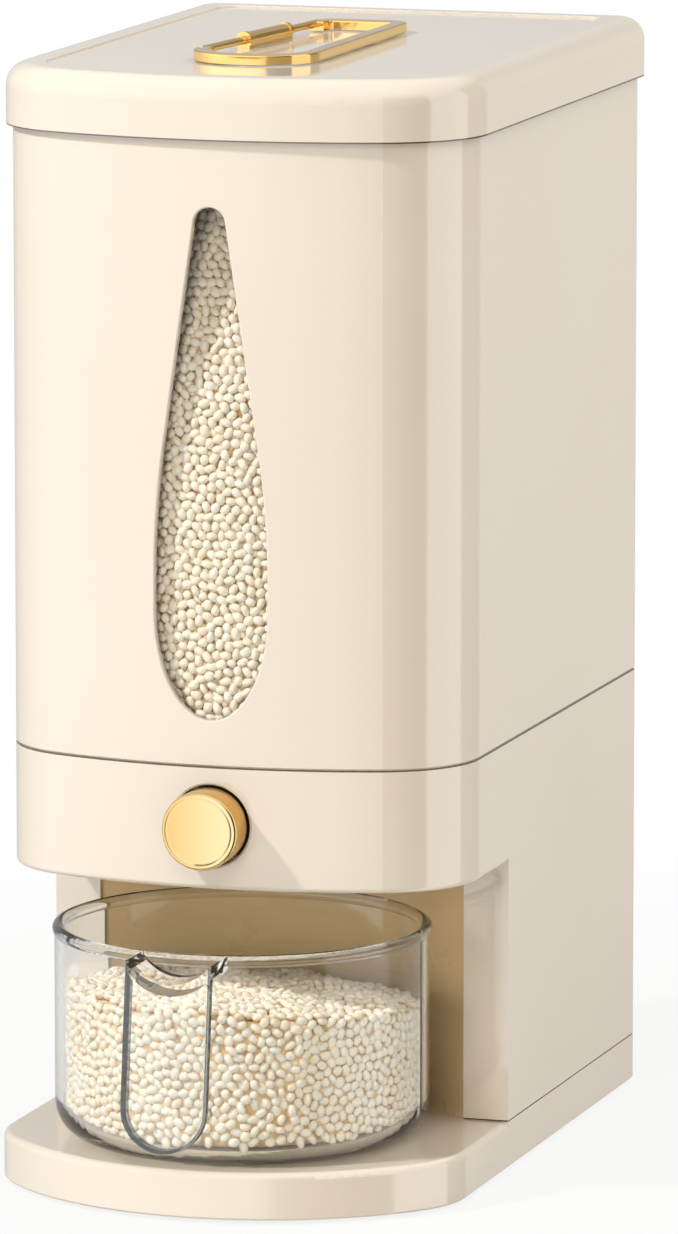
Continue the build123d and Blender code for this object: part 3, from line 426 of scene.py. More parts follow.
def pull_gold():
    """Polished gold: deeper on level faces than on upright ones, painted shade that stands in for their
    darker reflections, with a soft cast ripple.
    """
    look = settings().gold
    made, tree, shader, where = new_material("polished_gold")
    tone = ramp(tree, facing(tree)["Z"], [(0.3, look.pull_side_painted_light), (0.8, look.pull_top_painted_shade)])
    feed(tree, shader.inputs["Base Color"], tone)
    cast = noise(tree, where, cells=60.0, detail=0.0)
    feed(tree, shader.inputs["Roughness"], spread(tree, cast, 0.02, 0.06))
    feed(tree, shader.inputs["Normal"], bump(tree, cast, strength=0.3, distance=0.0012))
    shader.inputs["Metallic"].default_value = 1.0
    return made


def sleeve_plastic():
    """Dark plastic round the button, ivory from its lip outwards like the housing."""
    look = settings()
    made, tree, shader, where = new_material("sleeve_plastic")
    low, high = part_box("button_cap")
    outside = calc(tree, "GREATER_THAN", from_axis(tree, where, (low.z + high.z) / 2), look.gold.lip)
    dark = clouds(tree, noise(tree, where, cells=25.0), look.gold.sleeve_deep, look.gold.sleeve)
    feed(tree, shader.inputs["Base Color"], mixed(tree, outside, dark, look.shell.ivory))
    feed(tree, shader.inputs["Roughness"], spread(tree, noise(tree, where, cells=1600.0), 0.39, 0.51))
    return made


def cup_edge_shade(tree, where):
    """Where the glass takes painted shade: 1 on the tongue's outline, near its sides and the half circle
    below, less on the rim, 0 elsewhere.
    """
    look = settings().glass
    low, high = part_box("measuring_cup")
    parts = axes(tree, where)
    below = calc(tree, "MINIMUM", calc(tree, "SUBTRACT", parts["Z"], high.z - look.tongue_drop), 0.0)
    beside = calc(tree, "SUBTRACT", parts["X"], look.edge_shift)
    outer = calc(tree, "GREATER_THAN", flat_size(tree, beside, below), look.tongue_half - look.edge_width)
    ahead = calc(tree, "LESS_THAN", parts["Y"], low.y + look.tongue_reach)
    outline = calc(tree, "MULTIPLY", outer, ahead)
    rim = calc(tree, "MULTIPLY", calc(tree, "GREATER_THAN", parts["Z"], high.z - look.rim), look.rim_shade_share)
    return calc(tree, "MAXIMUM", outline, rim)


def clear_glass(name, tint, index, ripple, edge=None):
    """Clear polished glass with a faint pressed ripple. Lamps shine through it without a bend.

    Where the edge function gives 1, it takes a dark tint, painted shade that stands in for the dark look of a
    polished edge.
    """
    made, tree, shader, where = new_material(name)
    feed(tree, shader.inputs["Normal"], bump(tree, noise(tree, where, cells=90.0), ripple, distance=0.0002))
    tone = mixed(tree, edge(tree, where), tint, settings().glass.edge) if edge else tint
    feed(tree, shader.inputs["Base Color"], tone)
    shader.inputs["Transmission Weight"].default_value = 1.0
    shader.inputs["Roughness"].default_value = 0.0
    shader.inputs["IOR"].default_value = index
    through = add_node(tree, "BsdfTransparent", Color=tint).outputs["BSDF"]
    shadow = add_node(tree, "LightPath").outputs["Is Shadow Ray"]
    blend_shaders(tree, shadow, shader.outputs["BSDF"], through, "Material Output")
    return made


def rice_grain():
    """Polished short grain: an attribute gives its tone and its painted shade, warmer and darker down its
    sides, with chalky clouds.
    """
    look = settings().rice
    made, tree, shader, where = new_material("rice_grain")
    tone = add_node(tree, "Attribute", {"attribute_name": "grain_tone"}).outputs["Fac"]
    stops = [(0.0, look.crevice_shade), (0.5, look.warm), (0.95, look.pale)]
    feed(tree, shader.inputs["Base Color"], ramp(tree, tone, stops))
    chalk = noise(tree, where, cells=700.0)
    feed(tree, shader.inputs["Roughness"], spread(tree, chalk, 0.35, 0.5))
    feed(tree, shader.inputs["Normal"], bump(tree, chalk, strength=0.1, distance=0.0001))
    shader.inputs["IOR"].default_value = 1.5
    return made


def rice_bed():
    """Rice deeper in the heap, in painted shade: warm cells as large as grains that darken towards their
    edges.
    """
    look = settings().rice
    made, tree, shader, where = new_material("rice_bed")
    cells = add_node(tree, "TexVoronoi", Vector=where, Scale=1.0 / look.grain_length).outputs["Distance"]
    feed(tree, shader.inputs["Base Color"], ramp(tree, cells, [(0.1, look.warm), (0.6, look.bed)]))
    feed(tree, shader.inputs["Normal"], bump(tree, cells, strength=0.8, distance=0.001))
    shader.inputs["Roughness"].default_value = 0.6
    return made


def floor_paper():
    """Pale floor: the camera sees a share of its light and shadow under white, and it fades into white."""
    look = settings().studio
    made, tree, shader, where = new_material("floor_paper")
    shader.inputs["Roughness"].default_value = 0.6
    shader.inputs["Specular IOR Level"].default_value = 0.0
    camera = add_node(tree, "LightPath").outputs["Is Camera Ray"]
    grey = spread(tree, camera, look.floor_colour, look.floor_colour * look.floor_shade)
    feed(tree, shader.inputs["Base Color"], grey)
    feed(tree, shader.inputs["Emission Color"], (1.0, 1.0, 1.0))
    feed(tree, shader.inputs["Emission Strength"], spread(tree, camera, 0.0, 1.0 - look.floor_shade))
    fade = between(tree, size_of(tree, where), look.floor_inner, look.floor_outer, "SMOOTHSTEP")
    through = add_node(tree, "BsdfTransparent").outputs["BSDF"]
    blend_shaders(tree, fade, shader.outputs["BSDF"], through, "Material Output")
    return made


def finish_nodes(material, *names):
    """Gives the CAD nodes of those names that material."""
    for name in names:
        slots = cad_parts[name].data.materials
        slots.clear()
        slots.append(material)


# Mesh helpers


def new_piece(name, points, faces, material, body):
    """A mesh object from an array of points and lists of faces, riding on a body."""
    mesh = bpy.data.meshes.new(name)
    mesh.from_pydata(points.reshape(-1, 3), [], faces)
    mesh.materials.append(material)
    mesh.shade_smooth()
    made = bpy.data.objects.new(name, mesh)
    bpy.context.scene.collection.objects.link(made)
    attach(made, body)
    return made


def thicken(piece, thickness):
    """Closes a sheet by giving it a thickness on its inner side."""
    made = piece.modifiers.new("thickness", "SOLIDIFY")
    made.thickness = thickness
    made.offset = -1.0


def grid_faces(rows, columns, closed):
    """Quads between the neighbours of a grid, closed round in its columns where asked."""
    row = np.arange(rows - 1)[:, None]
    column = np.arange(columns if closed else columns - 1)[None, :]
    after = (column + 1) % columns
    low = row * columns
    high = low + columns
    quads = np.stack([low + column, low + after, high + after, high + column], axis=-1)
    return quads.reshape(-1, 4)


# Rice


GRAIN_RINGS = 4
GRAIN_TURNS = 6
GRAIN_POWER = 0.8  # below 1 makes a grain plump
SIZE_SPREAD = 0.08  # spread of the grains' sizes
GLASS_TILT = 0.14  # spread of their tilts against glass
TOP_TILT = 0.25  # and on an open top
# Painted shade on each grain: its tone falls from the top down its sides to the shaded colour.
PAINTED_SHADE_LOW = -0.3  # height on a unit grain where its tone starts to rise
PAINTED_SHADE_RISE = 0.9  # from there to its full tone
TONE_LEAST = 0.6  # tone of the warmest grain
JITTER = 0.55  # of the scattered points, in spacings
PUSH = 0.35  # share of an overlap that one round takes away
UP = (0.0, 0.0, 1.0)


def unit_grain():
    """A plump grain of length 2 along X: circles at -cos(a) of radius sin(a) to a power, and two poles."""
    angle = np.linspace(0.0, math.pi, GRAIN_RINGS + 2)[1:-1]
    around = np.arange(GRAIN_TURNS) * 2.0 * math.pi / GRAIN_TURNS
    radius = np.sin(angle) ** GRAIN_POWER
    along = np.repeat(-np.cos(angle)[:, None], GRAIN_TURNS, axis=1)
    rings = np.stack([along, np.outer(radius, np.cos(around)), np.outer(radius, np.sin(around))], axis=-1)
    points = np.concatenate([rings.reshape(-1, 3), [[-1.0, 0.0, 0.0], [1.0, 0.0, 0.0]]])
    here = np.arange(GRAIN_TURNS)
    after = (here + 1) % GRAIN_TURNS
    last = (GRAIN_RINGS - 1) * GRAIN_TURNS
    start = np.full(GRAIN_TURNS, GRAIN_RINGS * GRAIN_TURNS)
    sides = grid_faces(GRAIN_RINGS, GRAIN_TURNS, True)
    first_cap = np.stack([start, after, here], axis=-1)
    last_cap = np.stack([start + 1, last + here, last + after], axis=-1)
    return points, sides, np.concatenate([first_cap, last_cap])


def scatter(width, height, spacing, rng, wrap, pushes=24):
    """Points over a rectangle: a jittered hexagonal grid whose close pairs then push each other apart."""
    across = max(int(round(width / spacing)), 1)
    rows = max(int(round(height / (spacing * math.sqrt(0.75)))), 1)
    row, column = np.meshgrid(np.arange(rows), np.arange(across), indexing="ij")
    x = (column + 0.5 * (row % 2) + 0.25) * width / across
    y = (row + 0.5) * height / rows
    place = np.stack([x.ravel(), y.ravel()], axis=-1)
    place += rng.uniform(-JITTER, JITTER, place.shape) * spacing
    own = np.eye(len(place), dtype=np.float32)
    for _ in range(pushes):
        gap = (place[:, None, :] - place[None, :, :]).astype(np.float32)
        if wrap:
            gap[..., 0] -= width * np.round(gap[..., 0] / width)
        far = np.sqrt((gap**2).sum(axis=-1)) + own
        push = np.clip(spacing - far, 0.0, None) * (1.0 - own)
        place += PUSH * (gap * (push / far)[..., None]).sum(axis=1)
    return place


def grains(name, middles, outward, rng, body, tilt):
    """Grains at the middles, lying flat against the outward direction at random angles and small tilts."""
    look = settings().rice
    count = len(middles)
    up = outward + rng.normal(0.0, tilt, (count, 3))
    up /= np.linalg.norm(up, axis=1, keepdims=True)
    along = rng.normal(size=(count, 3))
    along -= (along * up).sum(axis=1, keepdims=True) * up
    along /= np.linalg.norm(along, axis=1, keepdims=True)
    side = np.cross(up, along)
    turned = np.stack([along, side, up], axis=1)
    half = np.array([look.grain_length, look.grain_width, look.grain_depth]) / 2.0
    sizes = half * rng.normal(1.0, SIZE_SPREAD, (count, 3))
    points, sides, caps = unit_grain()
    placed = np.einsum("gk,pk,gkc->gpc", sizes, points, turned) + middles[:, None, :]
    offsets = (np.arange(count) * len(points))[:, None, None]
    faces = (sides[None] + offsets).reshape(-1, 4).tolist() + (caps[None] + offsets).reshape(-1, 3).tolist()
    made = new_piece(name, placed, faces, bpy.data.materials["rice_grain"], body)
    # Painted shade: each grain's tone is a random level times a fall towards its underside, where the colour
    # turns to the shaded side's colour between neighbours.
    painted_lighting = np.clip((points[:, 2] - PAINTED_SHADE_LOW) / PAINTED_SHADE_RISE, 0.0, 1.0)
    tone = np.outer(rng.uniform(TONE_LEAST, 1.0, count), painted_lighting).astype(np.float32)
    made.data.attributes.new("grain_tone", "FLOAT", "POINT").data.foreach_set("value", tone.ravel())


def swell(x, y, height, across, along):
    """Gentle waves: the height times sin(across x + 1) times cos(along y)."""
    return height * np.sin(across * x + 1.0) * np.cos(along * y)


# Studio


SENSOR_WIDTH = 36.0  # millimetres
CLIP_END = 50.0
FLOOR_SIDES = 64
CEILING_START = 0.35  # height on a unit ball round the object where the mirrored ceiling starts
CEILING_FULL = 0.75  # and where it is full


def direction(azimuth, elevation):
    """Unit vector towards an azimuth, from the front to the right, and an elevation."""
    return Vector(
        (
            math.sin(azimuth) * math.cos(elevation),
            -math.cos(azimuth) * math.cos(elevation),
            math.sin(elevation),
        )
    )


def place_camera(scene, look):
    """A long lens at the photograph's angle, aimed at the body's middle."""
    data = bpy.data.cameras.new("camera")
    data.lens = look.lens
    data.sensor_width = SENSOR_WIDTH
    data.clip_end = CLIP_END
    back = direction(look.azimuth, look.elevation)
    right = Vector((math.cos(look.azimuth), math.sin(look.azimuth), 0.0))
    aim = Vector((0.0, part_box("rice_bin")[0].y + look.aim_back, look.aim_height)) + right * look.aim_side
    made = bpy.data.objects.new("camera", data)
    made.location = aim + back * look.distance
    made.rotation_euler = back.to_track_quat("Z", "Y").to_euler()
    scene.collection.objects.link(made)
    scene.camera = made


def place_lamp(scene, look, name):
    """A square lamp that faces the body's middle and isn't mirrored, from the settings with its name."""
    data = bpy.data.lights.new(name, "AREA")
    data.shape = "SQUARE"
    data.size = getattr(look, name + "_size")
    data.energy = getattr(look, name + "_power")
    made = bpy.data.objects.new(name, data)
    towards = direction(getattr(look, name + "_azimuth"), getattr(look, name + "_elevation"))
    middle = Vector((0.0, 0.0, look.aim_height))
    made.location = middle + towards * getattr(look, name + "_distance")
    made.rotation_euler = towards.to_track_quat("Z", "Y").to_euler()
    made.visible_glossy = False
    made.visible_transmission = False
    scene.collection.objects.link(made)
    return data


def place_floor(scene, look):
    """A round sheet on z = 0 that the gloss doesn't see."""
    turns = np.arange(FLOOR_SIDES) * 2.0 * math.pi / FLOOR_SIDES
    reach = look.floor_outer
    rim = np.stack([reach * np.cos(turns), reach * np.sin(turns), np.zeros(FLOOR_SIDES)], axis=-1)
    mesh = bpy.data.meshes.new("floor")
    mesh.from_pydata(rim, [], [list(range(FLOOR_SIDES))])
    mesh.materials.append(floor_paper())
    made = bpy.data.objects.new("floor", mesh)
    made.visible_glossy = False
    scene.collection.objects.link(made)


def by_azimuth(tree, around, zones):
    """Colours at azimuths in degrees, from -180 through the front at 0 to 180, blended in between."""
    return ramp(tree, around, [((degrees + 180) / 360, rgb) for degrees, rgb in zones])


def studio_world(look):
    """White to the camera, an even light to matt surfaces, and zones by azimuth to gloss and glass."""
    made = bpy.data.worlds.new("studio")
    made.use_nodes = True
    tree = made.node_tree
    parts = axes(tree, add_node(tree, "TexCoord").outputs["Generated"])
    side = calc(tree, "ARCTAN2", parts["X"], calc(tree, "MULTIPLY", parts["Y"], -1.0))
    around = between(tree, side, -math.pi, math.pi)
    # Azimuths from the front to the right, and the radiance that gloss and glass see there
    zones = [
        (-180, look.back_wall),
        (-140, look.back_wall),
        (-110, 0.5 * look.front_box),
        (-60, look.front_box),
        (-17, 0.9 * look.front_box),
        (10, 0.75 * look.front_box),
        (16, 0.6 * look.front_box),
        (22, 0.15 * look.front_box),
        (40, 0.06 * look.front_box),
        (58, look.dark),
        (69, look.dark),
        (72, look.side_box),
        (117, look.side_box),
        (121, 0.4 * look.side_wall),
        (154, 0.4 * look.side_wall),
        (160, look.side_wall),
        (171, look.side_wall),
        (180, look.back_wall),
    ]
    top = max(radiance for _, radiance in zones)
    level_light = by_azimuth(tree, around, [(degrees, (radiance / top,) * 3) for degrees, radiance in zones])
    ceiling = between(tree, parts["Z"], CEILING_START, CEILING_FULL, "SMOOTHSTEP")
    mirror = mixed(tree, ceiling, level_light, (look.overhead / top,) * 3)
    warm = tuple(look.ambient * part for part in look.shade)
    side_light = tuple(look.ambient_side * (1.0 + part) / 2 for part in look.shade)
    even = [(-180, warm), (45, warm), (95, side_light), (165, side_light), (180, warm)]
    path = add_node(tree, "LightPath").outputs
    plain = tree.nodes["Background"]
    white = mixed(tree, path["Is Camera Ray"], by_azimuth(tree, around, even), (1.0, 1.0, 1.0))
    feed(tree, plain.inputs["Color"], white)
    mirrored = add_node(tree, "Background", Color=mirror, Strength=top).outputs["Background"]
    seen = calc(tree, "MAXIMUM", path["Is Glossy Ray"], path["Is Transmission Ray"])
    direct = calc(tree, "LESS_THAN", path["Diffuse Depth"], 0.5)
    mirrors = calc(tree, "MULTIPLY", seen, direct)
    blend_shaders(tree, mirrors, plain.outputs["Background"], mirrored, "World Output")
    return made


# Operators


class DISPENSER_OT_stage(bpy.types.Operator):
    """Sets up the camera, the three lamps, the floor and the studio that gloss and glass mirror"""

    bl_idname = "dispenser.stage"
    bl_label = "Studio"

    def execute(self, context):
        look = settings().studio
        scene = context.scene
        scene.view_settings.view_transform = "Standard"
        place_camera(scene, look)
        place_lamp(scene, look, "key")
        place_lamp(scene, look, "fill").color = look.shade
        place_lamp(scene, look, "high").color = look.shade
        place_floor(scene, look)
        scene.world = studio_world(look)
        return {"FINISHED"}


class DISPENSER_OT_shells(bpy.types.Operator):
    """Gives the lid, bin, housing and base their glossy ivory, and the wall behind the cup a warmer glossy
    ivory as painted bounce light
    """

    bl_idname = "dispenser.shells"
    bl_label = "Ivory shells"

    def execute(self, context):
        look = settings().shell
        ivory = (look.ivory, look.ivory_deep, look.roughness, look.gloss_index)
        finish_nodes(ivory_plastic("ivory_plastic", *ivory), "base_plate", "rice_bin")
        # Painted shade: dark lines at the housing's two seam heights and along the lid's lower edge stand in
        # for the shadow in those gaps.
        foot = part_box("lower_housing")[0].z
        shade_heights = (foot + look.seam_chamfer / 2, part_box("rice_bin")[0].z - look.seam_chamfer / 2)
        finish_nodes(ivory_plastic("housing_plastic", *ivory, shade_heights), "lower_housing")
        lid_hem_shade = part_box("lid_shell")[0].z + look.seam_shade_width / 2
        finish_nodes(ivory_plastic("lid_plastic", *ivory, (lid_hem_shade,)), "lid_shell")
        # Painted light: the wall behind the cup gets a warmer colour than the ivory, standing in for the warm
        # bounce light there.
        bay_painted_bounce = ivory_plastic("bay_plastic", look.bay_painted_bounce, look.bay_deep_painted_bounce, look.bay_roughness, look.bay_index)
        finish_nodes(bay_painted_bounce, "bay_liner")
        return {"FINISHED"}


class DISPENSER_OT_works(bpy.types.Operator):
    """Gives the inner mouldings, seals, feet, screws and spring their finishes"""

    bl_idname = "dispenser.works"
    bl_label = "Inner works"

    def execute(self, context):
        look = settings().works
        finish_nodes(
            moulded_plastic("white_plastic", look.white, look.white_deep, roughness=0.4),
            "hopper_funnel",
            "gate_guide",
            "gate_cover",
            "gate_plate",
            "button_stem",
            "lid_inner",
        )
        rubber = moulded_plastic("grey_rubber", look.rubber, look.rubber_deep, roughness=0.75)
        finish_nodes(rubber, "foot_pads")
        silicone = moulded_plastic("milky_silicone", look.silicone, look.silicone_deep, roughness=0.5)
        finish_nodes(silicone, "window_seal", "lid_seal")
        finish_nodes(sleeve_plastic(), "button_sleeve")
        finish_nodes(
            zinc_steel(),
            "base_screws",
            "bin_screws",
            "gate_screws",
            "guide_screws",
            "stem_screw",
            "lid_screws",
            "pull_nuts",
            "return_spring",
        )
        return {"FINISHED"}


class DISPENSER_OT_metal(bpy.types.Operator):
    """Gives the button and the lid's pull their gold"""

    bl_idname = "dispenser.metal"
    bl_label = "Gold button and pull"

    def execute(self, context):
        finish_nodes(button_gold(), "button_cap")
        finish_nodes(pull_gold(), "pull_ring", "pull_bracket")
        return {"FINISHED"}


class DISPENSER_OT_clear(bpy.types.Operator):
    """Gives the measuring cup and the window pane their clear finish"""

    bl_idname = "dispenser.clear"
    bl_label = "Clear cup and pane"

    def execute(self, context):
        look = settings().glass
        cup = clear_glass("cup_glass", look.tint, look.index, ripple=0.02, edge=cup_edge_shade)
        finish_nodes(cup, "measuring_cup")
        pane = clear_glass("clear_pane", look.pane, look.pane_index, ripple=0.01)
        finish_nodes(pane, "window_pane")
        return {"FINISHED"}


WINDOW_LAYERS = 2
FIRST_LAYER = 0.6  # depth of the first layer behind the pane, in grain depths
LAYER_STEP = 0.5  # from one layer to the next, in grain depths
LAYER_PLAY = 0.0005  # most that a grain lies deeper than its layer
WINDOW_BED = 1.15  # depth of the bed, in grain depths
WINDOW_ROWS, WINDOW_COLUMNS = 60, 24  # of the bed


class DISPENSER_OT_window_rice(bpy.types.Operator):
    """Lays two layers of grains on a bed of rice behind the window"""

    bl_idname = "dispenser.window_rice"
    bl_label = "Rice behind the window"

    def execute(self, context):
        look = settings().rice
        rng = np.random.default_rng(look.seed)
        rice_grain()
        bed = rice_bed()
        low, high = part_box("window_pane")
        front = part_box("rice_bin")[0].y
        margin = look.grain_length
        width = high.x - low.x + 2 * margin
        height = high.z - low.z + margin
        upper = 0.5 * height

        def behind(x, z, depth):
            """Points so deep behind the pane's bow, and back by the square of the rise in the upper half."""
            rise = np.clip((z - high.z + upper) / upper, 0.0, 1.0)
            radius = look.bow_radius - look.window_inset - depth - look.window_slope * rise**2
            angle = np.arcsin(x / look.bow_radius)
            y = front + look.bow_radius - radius * np.cos(angle)
            return np.stack(np.broadcast_arrays(radius * np.sin(angle), y, z), axis=-1)

        middles = []
        outward = []
        for layer in range(WINDOW_LAYERS):
            place = scatter(width, height, look.spacing, rng, False)
            x = place[:, 0] - width / 2
            depth = look.grain_depth * (FIRST_LAYER + LAYER_STEP * layer)
            depth = depth + rng.uniform(0.0, LAYER_PLAY, len(x))
            middles.append(behind(x, low.z + place[:, 1], depth))
            angle = np.arcsin(x / look.bow_radius)
            outward.append(np.stack([np.sin(angle), -np.cos(angle), np.zeros_like(angle)], axis=-1))
        grains("window_rice", np.concatenate(middles), np.concatenate(outward), rng, "housing", GLASS_TILT)
        across = np.linspace(-width / 2, width / 2, WINDOW_COLUMNS)[None, :]
        up = np.linspace(low.z - margin / 2, high.z + margin, WINDOW_ROWS)[:, None]
        sheet = behind(across, up, WINDOW_BED * look.grain_depth)
        faces = grid_faces(WINDOW_ROWS, WINDOW_COLUMNS, False).tolist()
        made = new_piece("window_rice_bed", sheet, faces, bed, "housing")
        thicken(made, look.grain_depth)
        return {"FINISHED"}


BIN_CORNER = 0.0375  # inner radius of the bin's front corners
BIN_CORNER_BACK = 0.012  # from the bow's front back to the corners' front
BIN_BOW_HALF = 0.068  # from the bin's middle to the end of its bow
BIN_EDGE = 0.003  # from the bin's inside to the grains' middles
BIN_PLAY = (-0.0008, 0.0006)  # ups and downs of the grains
BIN_SWELL = (0.0015, 60.0, 45.0)  # height of its waves, and how tight they are across and along
BIN_BED = 0.4  # depth of the bed, in grain depths
BIN_ROWS, BIN_COLUMNS = 40, 60  # of the bed


class DISPENSER_OT_bin_rice(bpy.types.Operator):
    """Lays the level top of the stored rice, which shows when the lid is off"""

    bl_idname = "dispenser.bin_rice"
    bl_label = "Top of the stored rice"

    def execute(self, context):
        look = settings().rice
        rng = np.random.default_rng(look.seed + 2)
        low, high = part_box("rice_bin")
        half = high.x - look.bin_wall
        back = high.y - look.bin_wall
        bow = look.bow_radius - look.bin_wall

        def front(x):
            """Inner front of the bin at x: the bow in the middle, rounded corners at the sides."""
            bowed = low.y + look.bow_radius - np.sqrt(bow**2 - np.minimum(np.abs(x), BIN_BOW_HALF) ** 2)
            edge = np.clip(np.abs(x) - (half - BIN_CORNER), 0.0, BIN_CORNER)
            rounded = BIN_CORNER - np.sqrt(np.clip(BIN_CORNER**2 - edge**2, 0.0, None))
            return np.maximum(bowed, low.y + BIN_CORNER_BACK + rounded)

        def height(x, y):
            """A gently uneven level."""
            return look.bin_fill + swell(x, y, *BIN_SWELL)

        place = scatter(2 * half, back - low.y, look.spacing, rng, False, pushes=4) + np.array([-half, low.y])
        inside = (np.abs(place[:, 0]) < half - BIN_EDGE) & (place[:, 1] < back - BIN_EDGE)
        inside &= place[:, 1] > front(place[:, 0]) + BIN_EDGE
        place = place[inside]
        z = height(place[:, 0], place[:, 1]) + rng.uniform(*BIN_PLAY, len(place))
        over = np.stack([place[:, 0], place[:, 1], z], axis=-1)
        grains("bin_rice_top", over, np.tile(UP, (len(over), 1)), rng, "housing", TOP_TILT)
        across = np.linspace(-half, half, BIN_COLUMNS)
        depth = np.linspace(0.0, 1.0, BIN_ROWS)[:, None]
        start = front(across)[None, :]
        y = start + (back - start) * depth
        x = np.broadcast_to(across[None, :], y.shape)
        sheet = np.stack([x, y, height(x, y) - BIN_BED * look.grain_depth], axis=-1)
        bed = bpy.data.materials["rice_bed"]
        faces = grid_faces(BIN_ROWS, BIN_COLUMNS, False).tolist()
        made = new_piece("bin_rice_bed", sheet, faces, bed, "housing")
        thicken(made, look.grain_depth)
        return {"FINISHED"}


CUP_GAP = 0.0004  # between the glass and the rice
CUP_BEAD = 0.0008  # from the back of the cup's rim to its wall
CUP_PLAY = (-0.0009, 0.0006)  # ups and downs of the grains on the heap
HEAP_LEAN = (-0.35, -0.94)  # direction in which the heap rises
HEAP_CROWN = 0.004  # rise of its middle over its edge
HEAP_SWELL = (0.0012, 140.0, 110.0)  # height of its waves, and how tight they are across and along
HEAP_EDGE = 0.7  # from the glass to the grains on the heap, in grain depths
SIDE_DEPTH = 0.62  # from the glass to the grains against it, in grain depths
SIDE_PLAY = 0.0008  # most that such a grain lies deeper
SIDE_TOP = 0.3  # how far these grains end below the heap, in grain depths
SIDE_FOOT = 0.4  # height at which they start, in inner radii of the cup's bottom
CORE_TURNS = 72  # sides of the bed
CORE_ROWS = 24  # circles of the bed's top
CORE_BENDS = 7  # circles of its rounded foot
CORE_DEPTH = 0.8  # from the glass to the bed, in grain depths
CORE_SINK = 0.5  # how far the bed's top lies below the heap, in grain depths
CORE_FOOT = 0.0006  # from the cup's bottom to the bed
CORE_TOP_HOLE = 0.97  # how far the last circle of the top lies inwards, as a share of the bed's radius
CORE_FOOT_HOLE = 0.98  # and the last circle of the foot


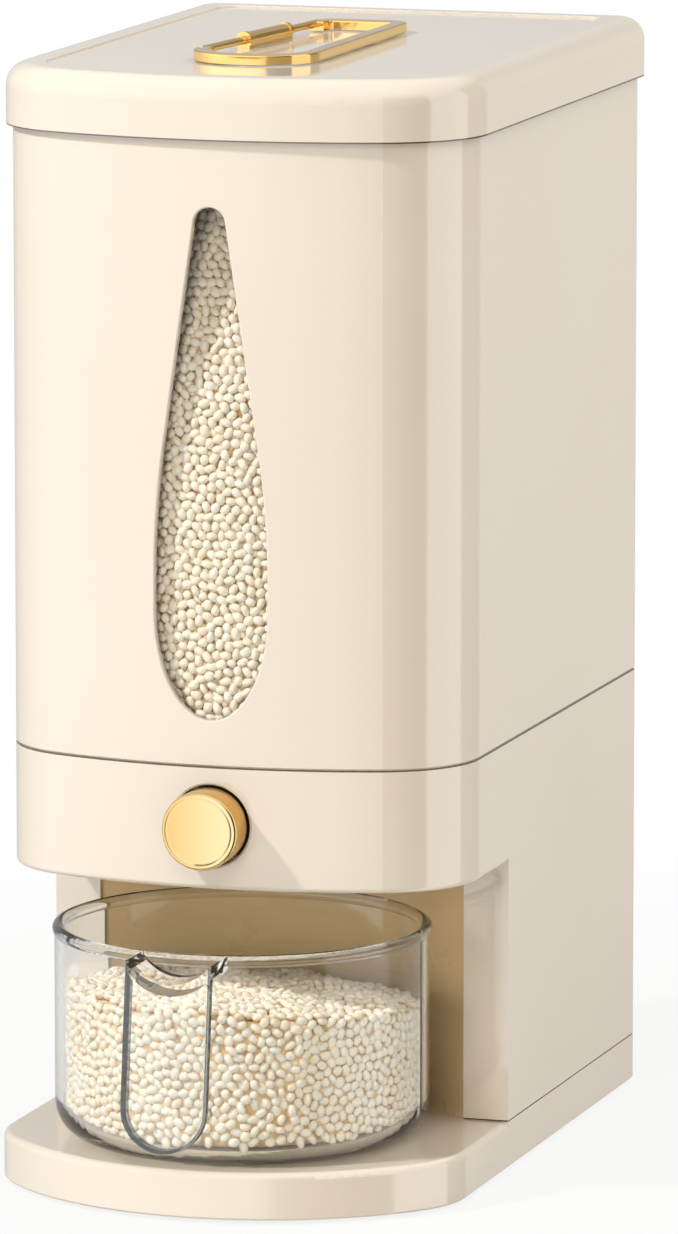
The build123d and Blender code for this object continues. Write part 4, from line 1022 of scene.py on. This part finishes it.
class DISPENSER_OT_cup_rice(bpy.types.Operator):
    """Fills the cup: grains against the glass and over the heap, on a bed of rice"""

    bl_idname = "dispenser.cup_rice"
    bl_label = "Rice in the cup"

    def execute(self, context):
        look = settings().rice
        rng = np.random.default_rng(look.seed + 1)
        low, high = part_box("measuring_cup")
        radius = look.cup_radius - look.cup_wall - CUP_GAP
        centre = Vector((0.0, high.y - look.cup_radius - CUP_BEAD))
        floor = low.z + look.cup_floor

        def surface(x, y):
            """Height of the heap: tilted towards the front left, crowned as 1 - r squared, gently uneven."""
            lean = (HEAP_LEAN[0] * x + HEAP_LEAN[1] * y) / radius
            crown = HEAP_CROWN * (1 - (x**2 + y**2) / radius**2)
            return look.cup_fill + look.cup_tilt * lean + crown + swell(x, y, *HEAP_SWELL)

        girth = 2 * math.pi * radius
        side = scatter(girth, look.cup_fill + look.cup_tilt + HEAP_CROWN - floor, look.spacing, rng, True)
        angle = side[:, 0] / radius
        reach = radius - look.grain_depth * SIDE_DEPTH - rng.uniform(0.0, SIDE_PLAY, len(angle))
        z = floor + look.grain_depth * 0.5 + side[:, 1]
        curl = np.clip(look.cup_curl - (z - floor), 0.0, None)
        reach = reach - look.cup_curl + np.sqrt(np.clip(look.cup_curl**2 - curl**2, 0.0, None))
        x = reach * np.cos(angle)
        y = reach * np.sin(angle)
        keep = (z < surface(x, y) - look.grain_depth * SIDE_TOP) & (z > floor + SIDE_FOOT * look.cup_curl)
        against = np.stack([x + centre.x, y + centre.y, z], axis=-1)[keep]
        outward = np.stack([np.cos(angle), np.sin(angle), np.zeros_like(angle)], axis=-1)[keep]
        grains("cup_rice_side", against, outward, rng, "cup", GLASS_TILT)
        top = scatter(2 * radius, 2 * radius, look.spacing, rng, False) - radius
        top = top[np.hypot(top[:, 0], top[:, 1]) < radius - look.grain_depth * HEAP_EDGE]
        z = surface(top[:, 0], top[:, 1]) + rng.uniform(*CUP_PLAY, len(top))
        over = np.stack([top[:, 0] + centre.x, top[:, 1] + centre.y, z], axis=-1)
        grains("cup_rice_top", over, np.tile(UP, (len(over), 1)), rng, "cup", TOP_TILT)
        turns = np.arange(CORE_TURNS) * 2 * math.pi / CORE_TURNS
        core = radius - CORE_DEPTH * look.grain_depth
        foot = floor + CORE_FOOT
        bend = np.linspace(0.0, math.pi / 2, CORE_BENDS)
        crest = np.linspace(CORE_TOP_HOLE, 0.0, CORE_ROWS) * core
        inward = np.concatenate([crest, look.cup_curl * (1 - np.cos(bend)), [CORE_FOOT_HOLE * core]])
        curled = foot + look.cup_curl * (1 - np.sin(bend))
        x = np.outer(core - inward, np.cos(turns))
        y = np.outer(core - inward, np.sin(turns))
        z = surface(x, y) - look.grain_depth * CORE_SINK
        z[CORE_ROWS:] = np.concatenate([curled, [foot]])[:, None]
        heap = np.stack([x + centre.x, y + centre.y, z], axis=-1)
        rows = len(heap)
        faces = grid_faces(rows, CORE_TURNS, True)[:, ::-1].tolist()
        last = range(rows * CORE_TURNS - 1, (rows - 1) * CORE_TURNS - 1, -1)
        faces += [list(range(CORE_TURNS)), list(last)]
        new_piece("cup_rice_bed", heap, faces, bpy.data.materials["rice_bed"], "cup")
        return {"FINISHED"}


# Panel and registration


class DISPENSER_PT_panel(bpy.types.Panel):
    """Lists the steps in the 3D view's sidebar"""

    bl_idname = "DISPENSER_PT_panel"
    bl_label = "Rice dispenser"
    bl_space_type = "VIEW_3D"
    bl_region_type = "UI"
    bl_category = "Rice dispenser"

    def draw(self, context):
        for step in STEPS:
            self.layout.operator(step.bl_idname)


STEPS = (
    DISPENSER_OT_stage,
    DISPENSER_OT_shells,
    DISPENSER_OT_works,
    DISPENSER_OT_metal,
    DISPENSER_OT_clear,
    DISPENSER_OT_window_rice,
    DISPENSER_OT_bin_rice,
    DISPENSER_OT_cup_rice,
)
GROUPS = (
    StudioSettings,
    ShellSettings,
    WorksSettings,
    GoldSettings,
    GlassSettings,
    RiceSettings,
    DispenserSettings,
)


def register():
    """Registers the settings, the operators and the panel."""
    for group in GROUPS:
        bpy.utils.register_class(group)
    bpy.types.Scene.rice_dispenser = PointerProperty(type=DispenserSettings)
    for step in STEPS:
        bpy.utils.register_class(step)
    bpy.utils.register_class(DISPENSER_PT_panel)


def unregister():
    """Removes what register added."""
    bpy.utils.unregister_class(DISPENSER_PT_panel)
    for step in reversed(STEPS):
        bpy.utils.unregister_class(step)
    del bpy.types.Scene.rice_dispenser
    for group in reversed(GROUPS):
        bpy.utils.unregister_class(group)


def main():
    """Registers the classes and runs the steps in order."""
    register()
    bpy.ops.dispenser.stage()
    bpy.ops.dispenser.shells()
    bpy.ops.dispenser.works()
    bpy.ops.dispenser.metal()
    bpy.ops.dispenser.clear()
    bpy.ops.dispenser.window_rice()
    bpy.ops.dispenser.bin_rice()
    bpy.ops.dispenser.cup_rice()


if __name__ == "__main__":
    main()
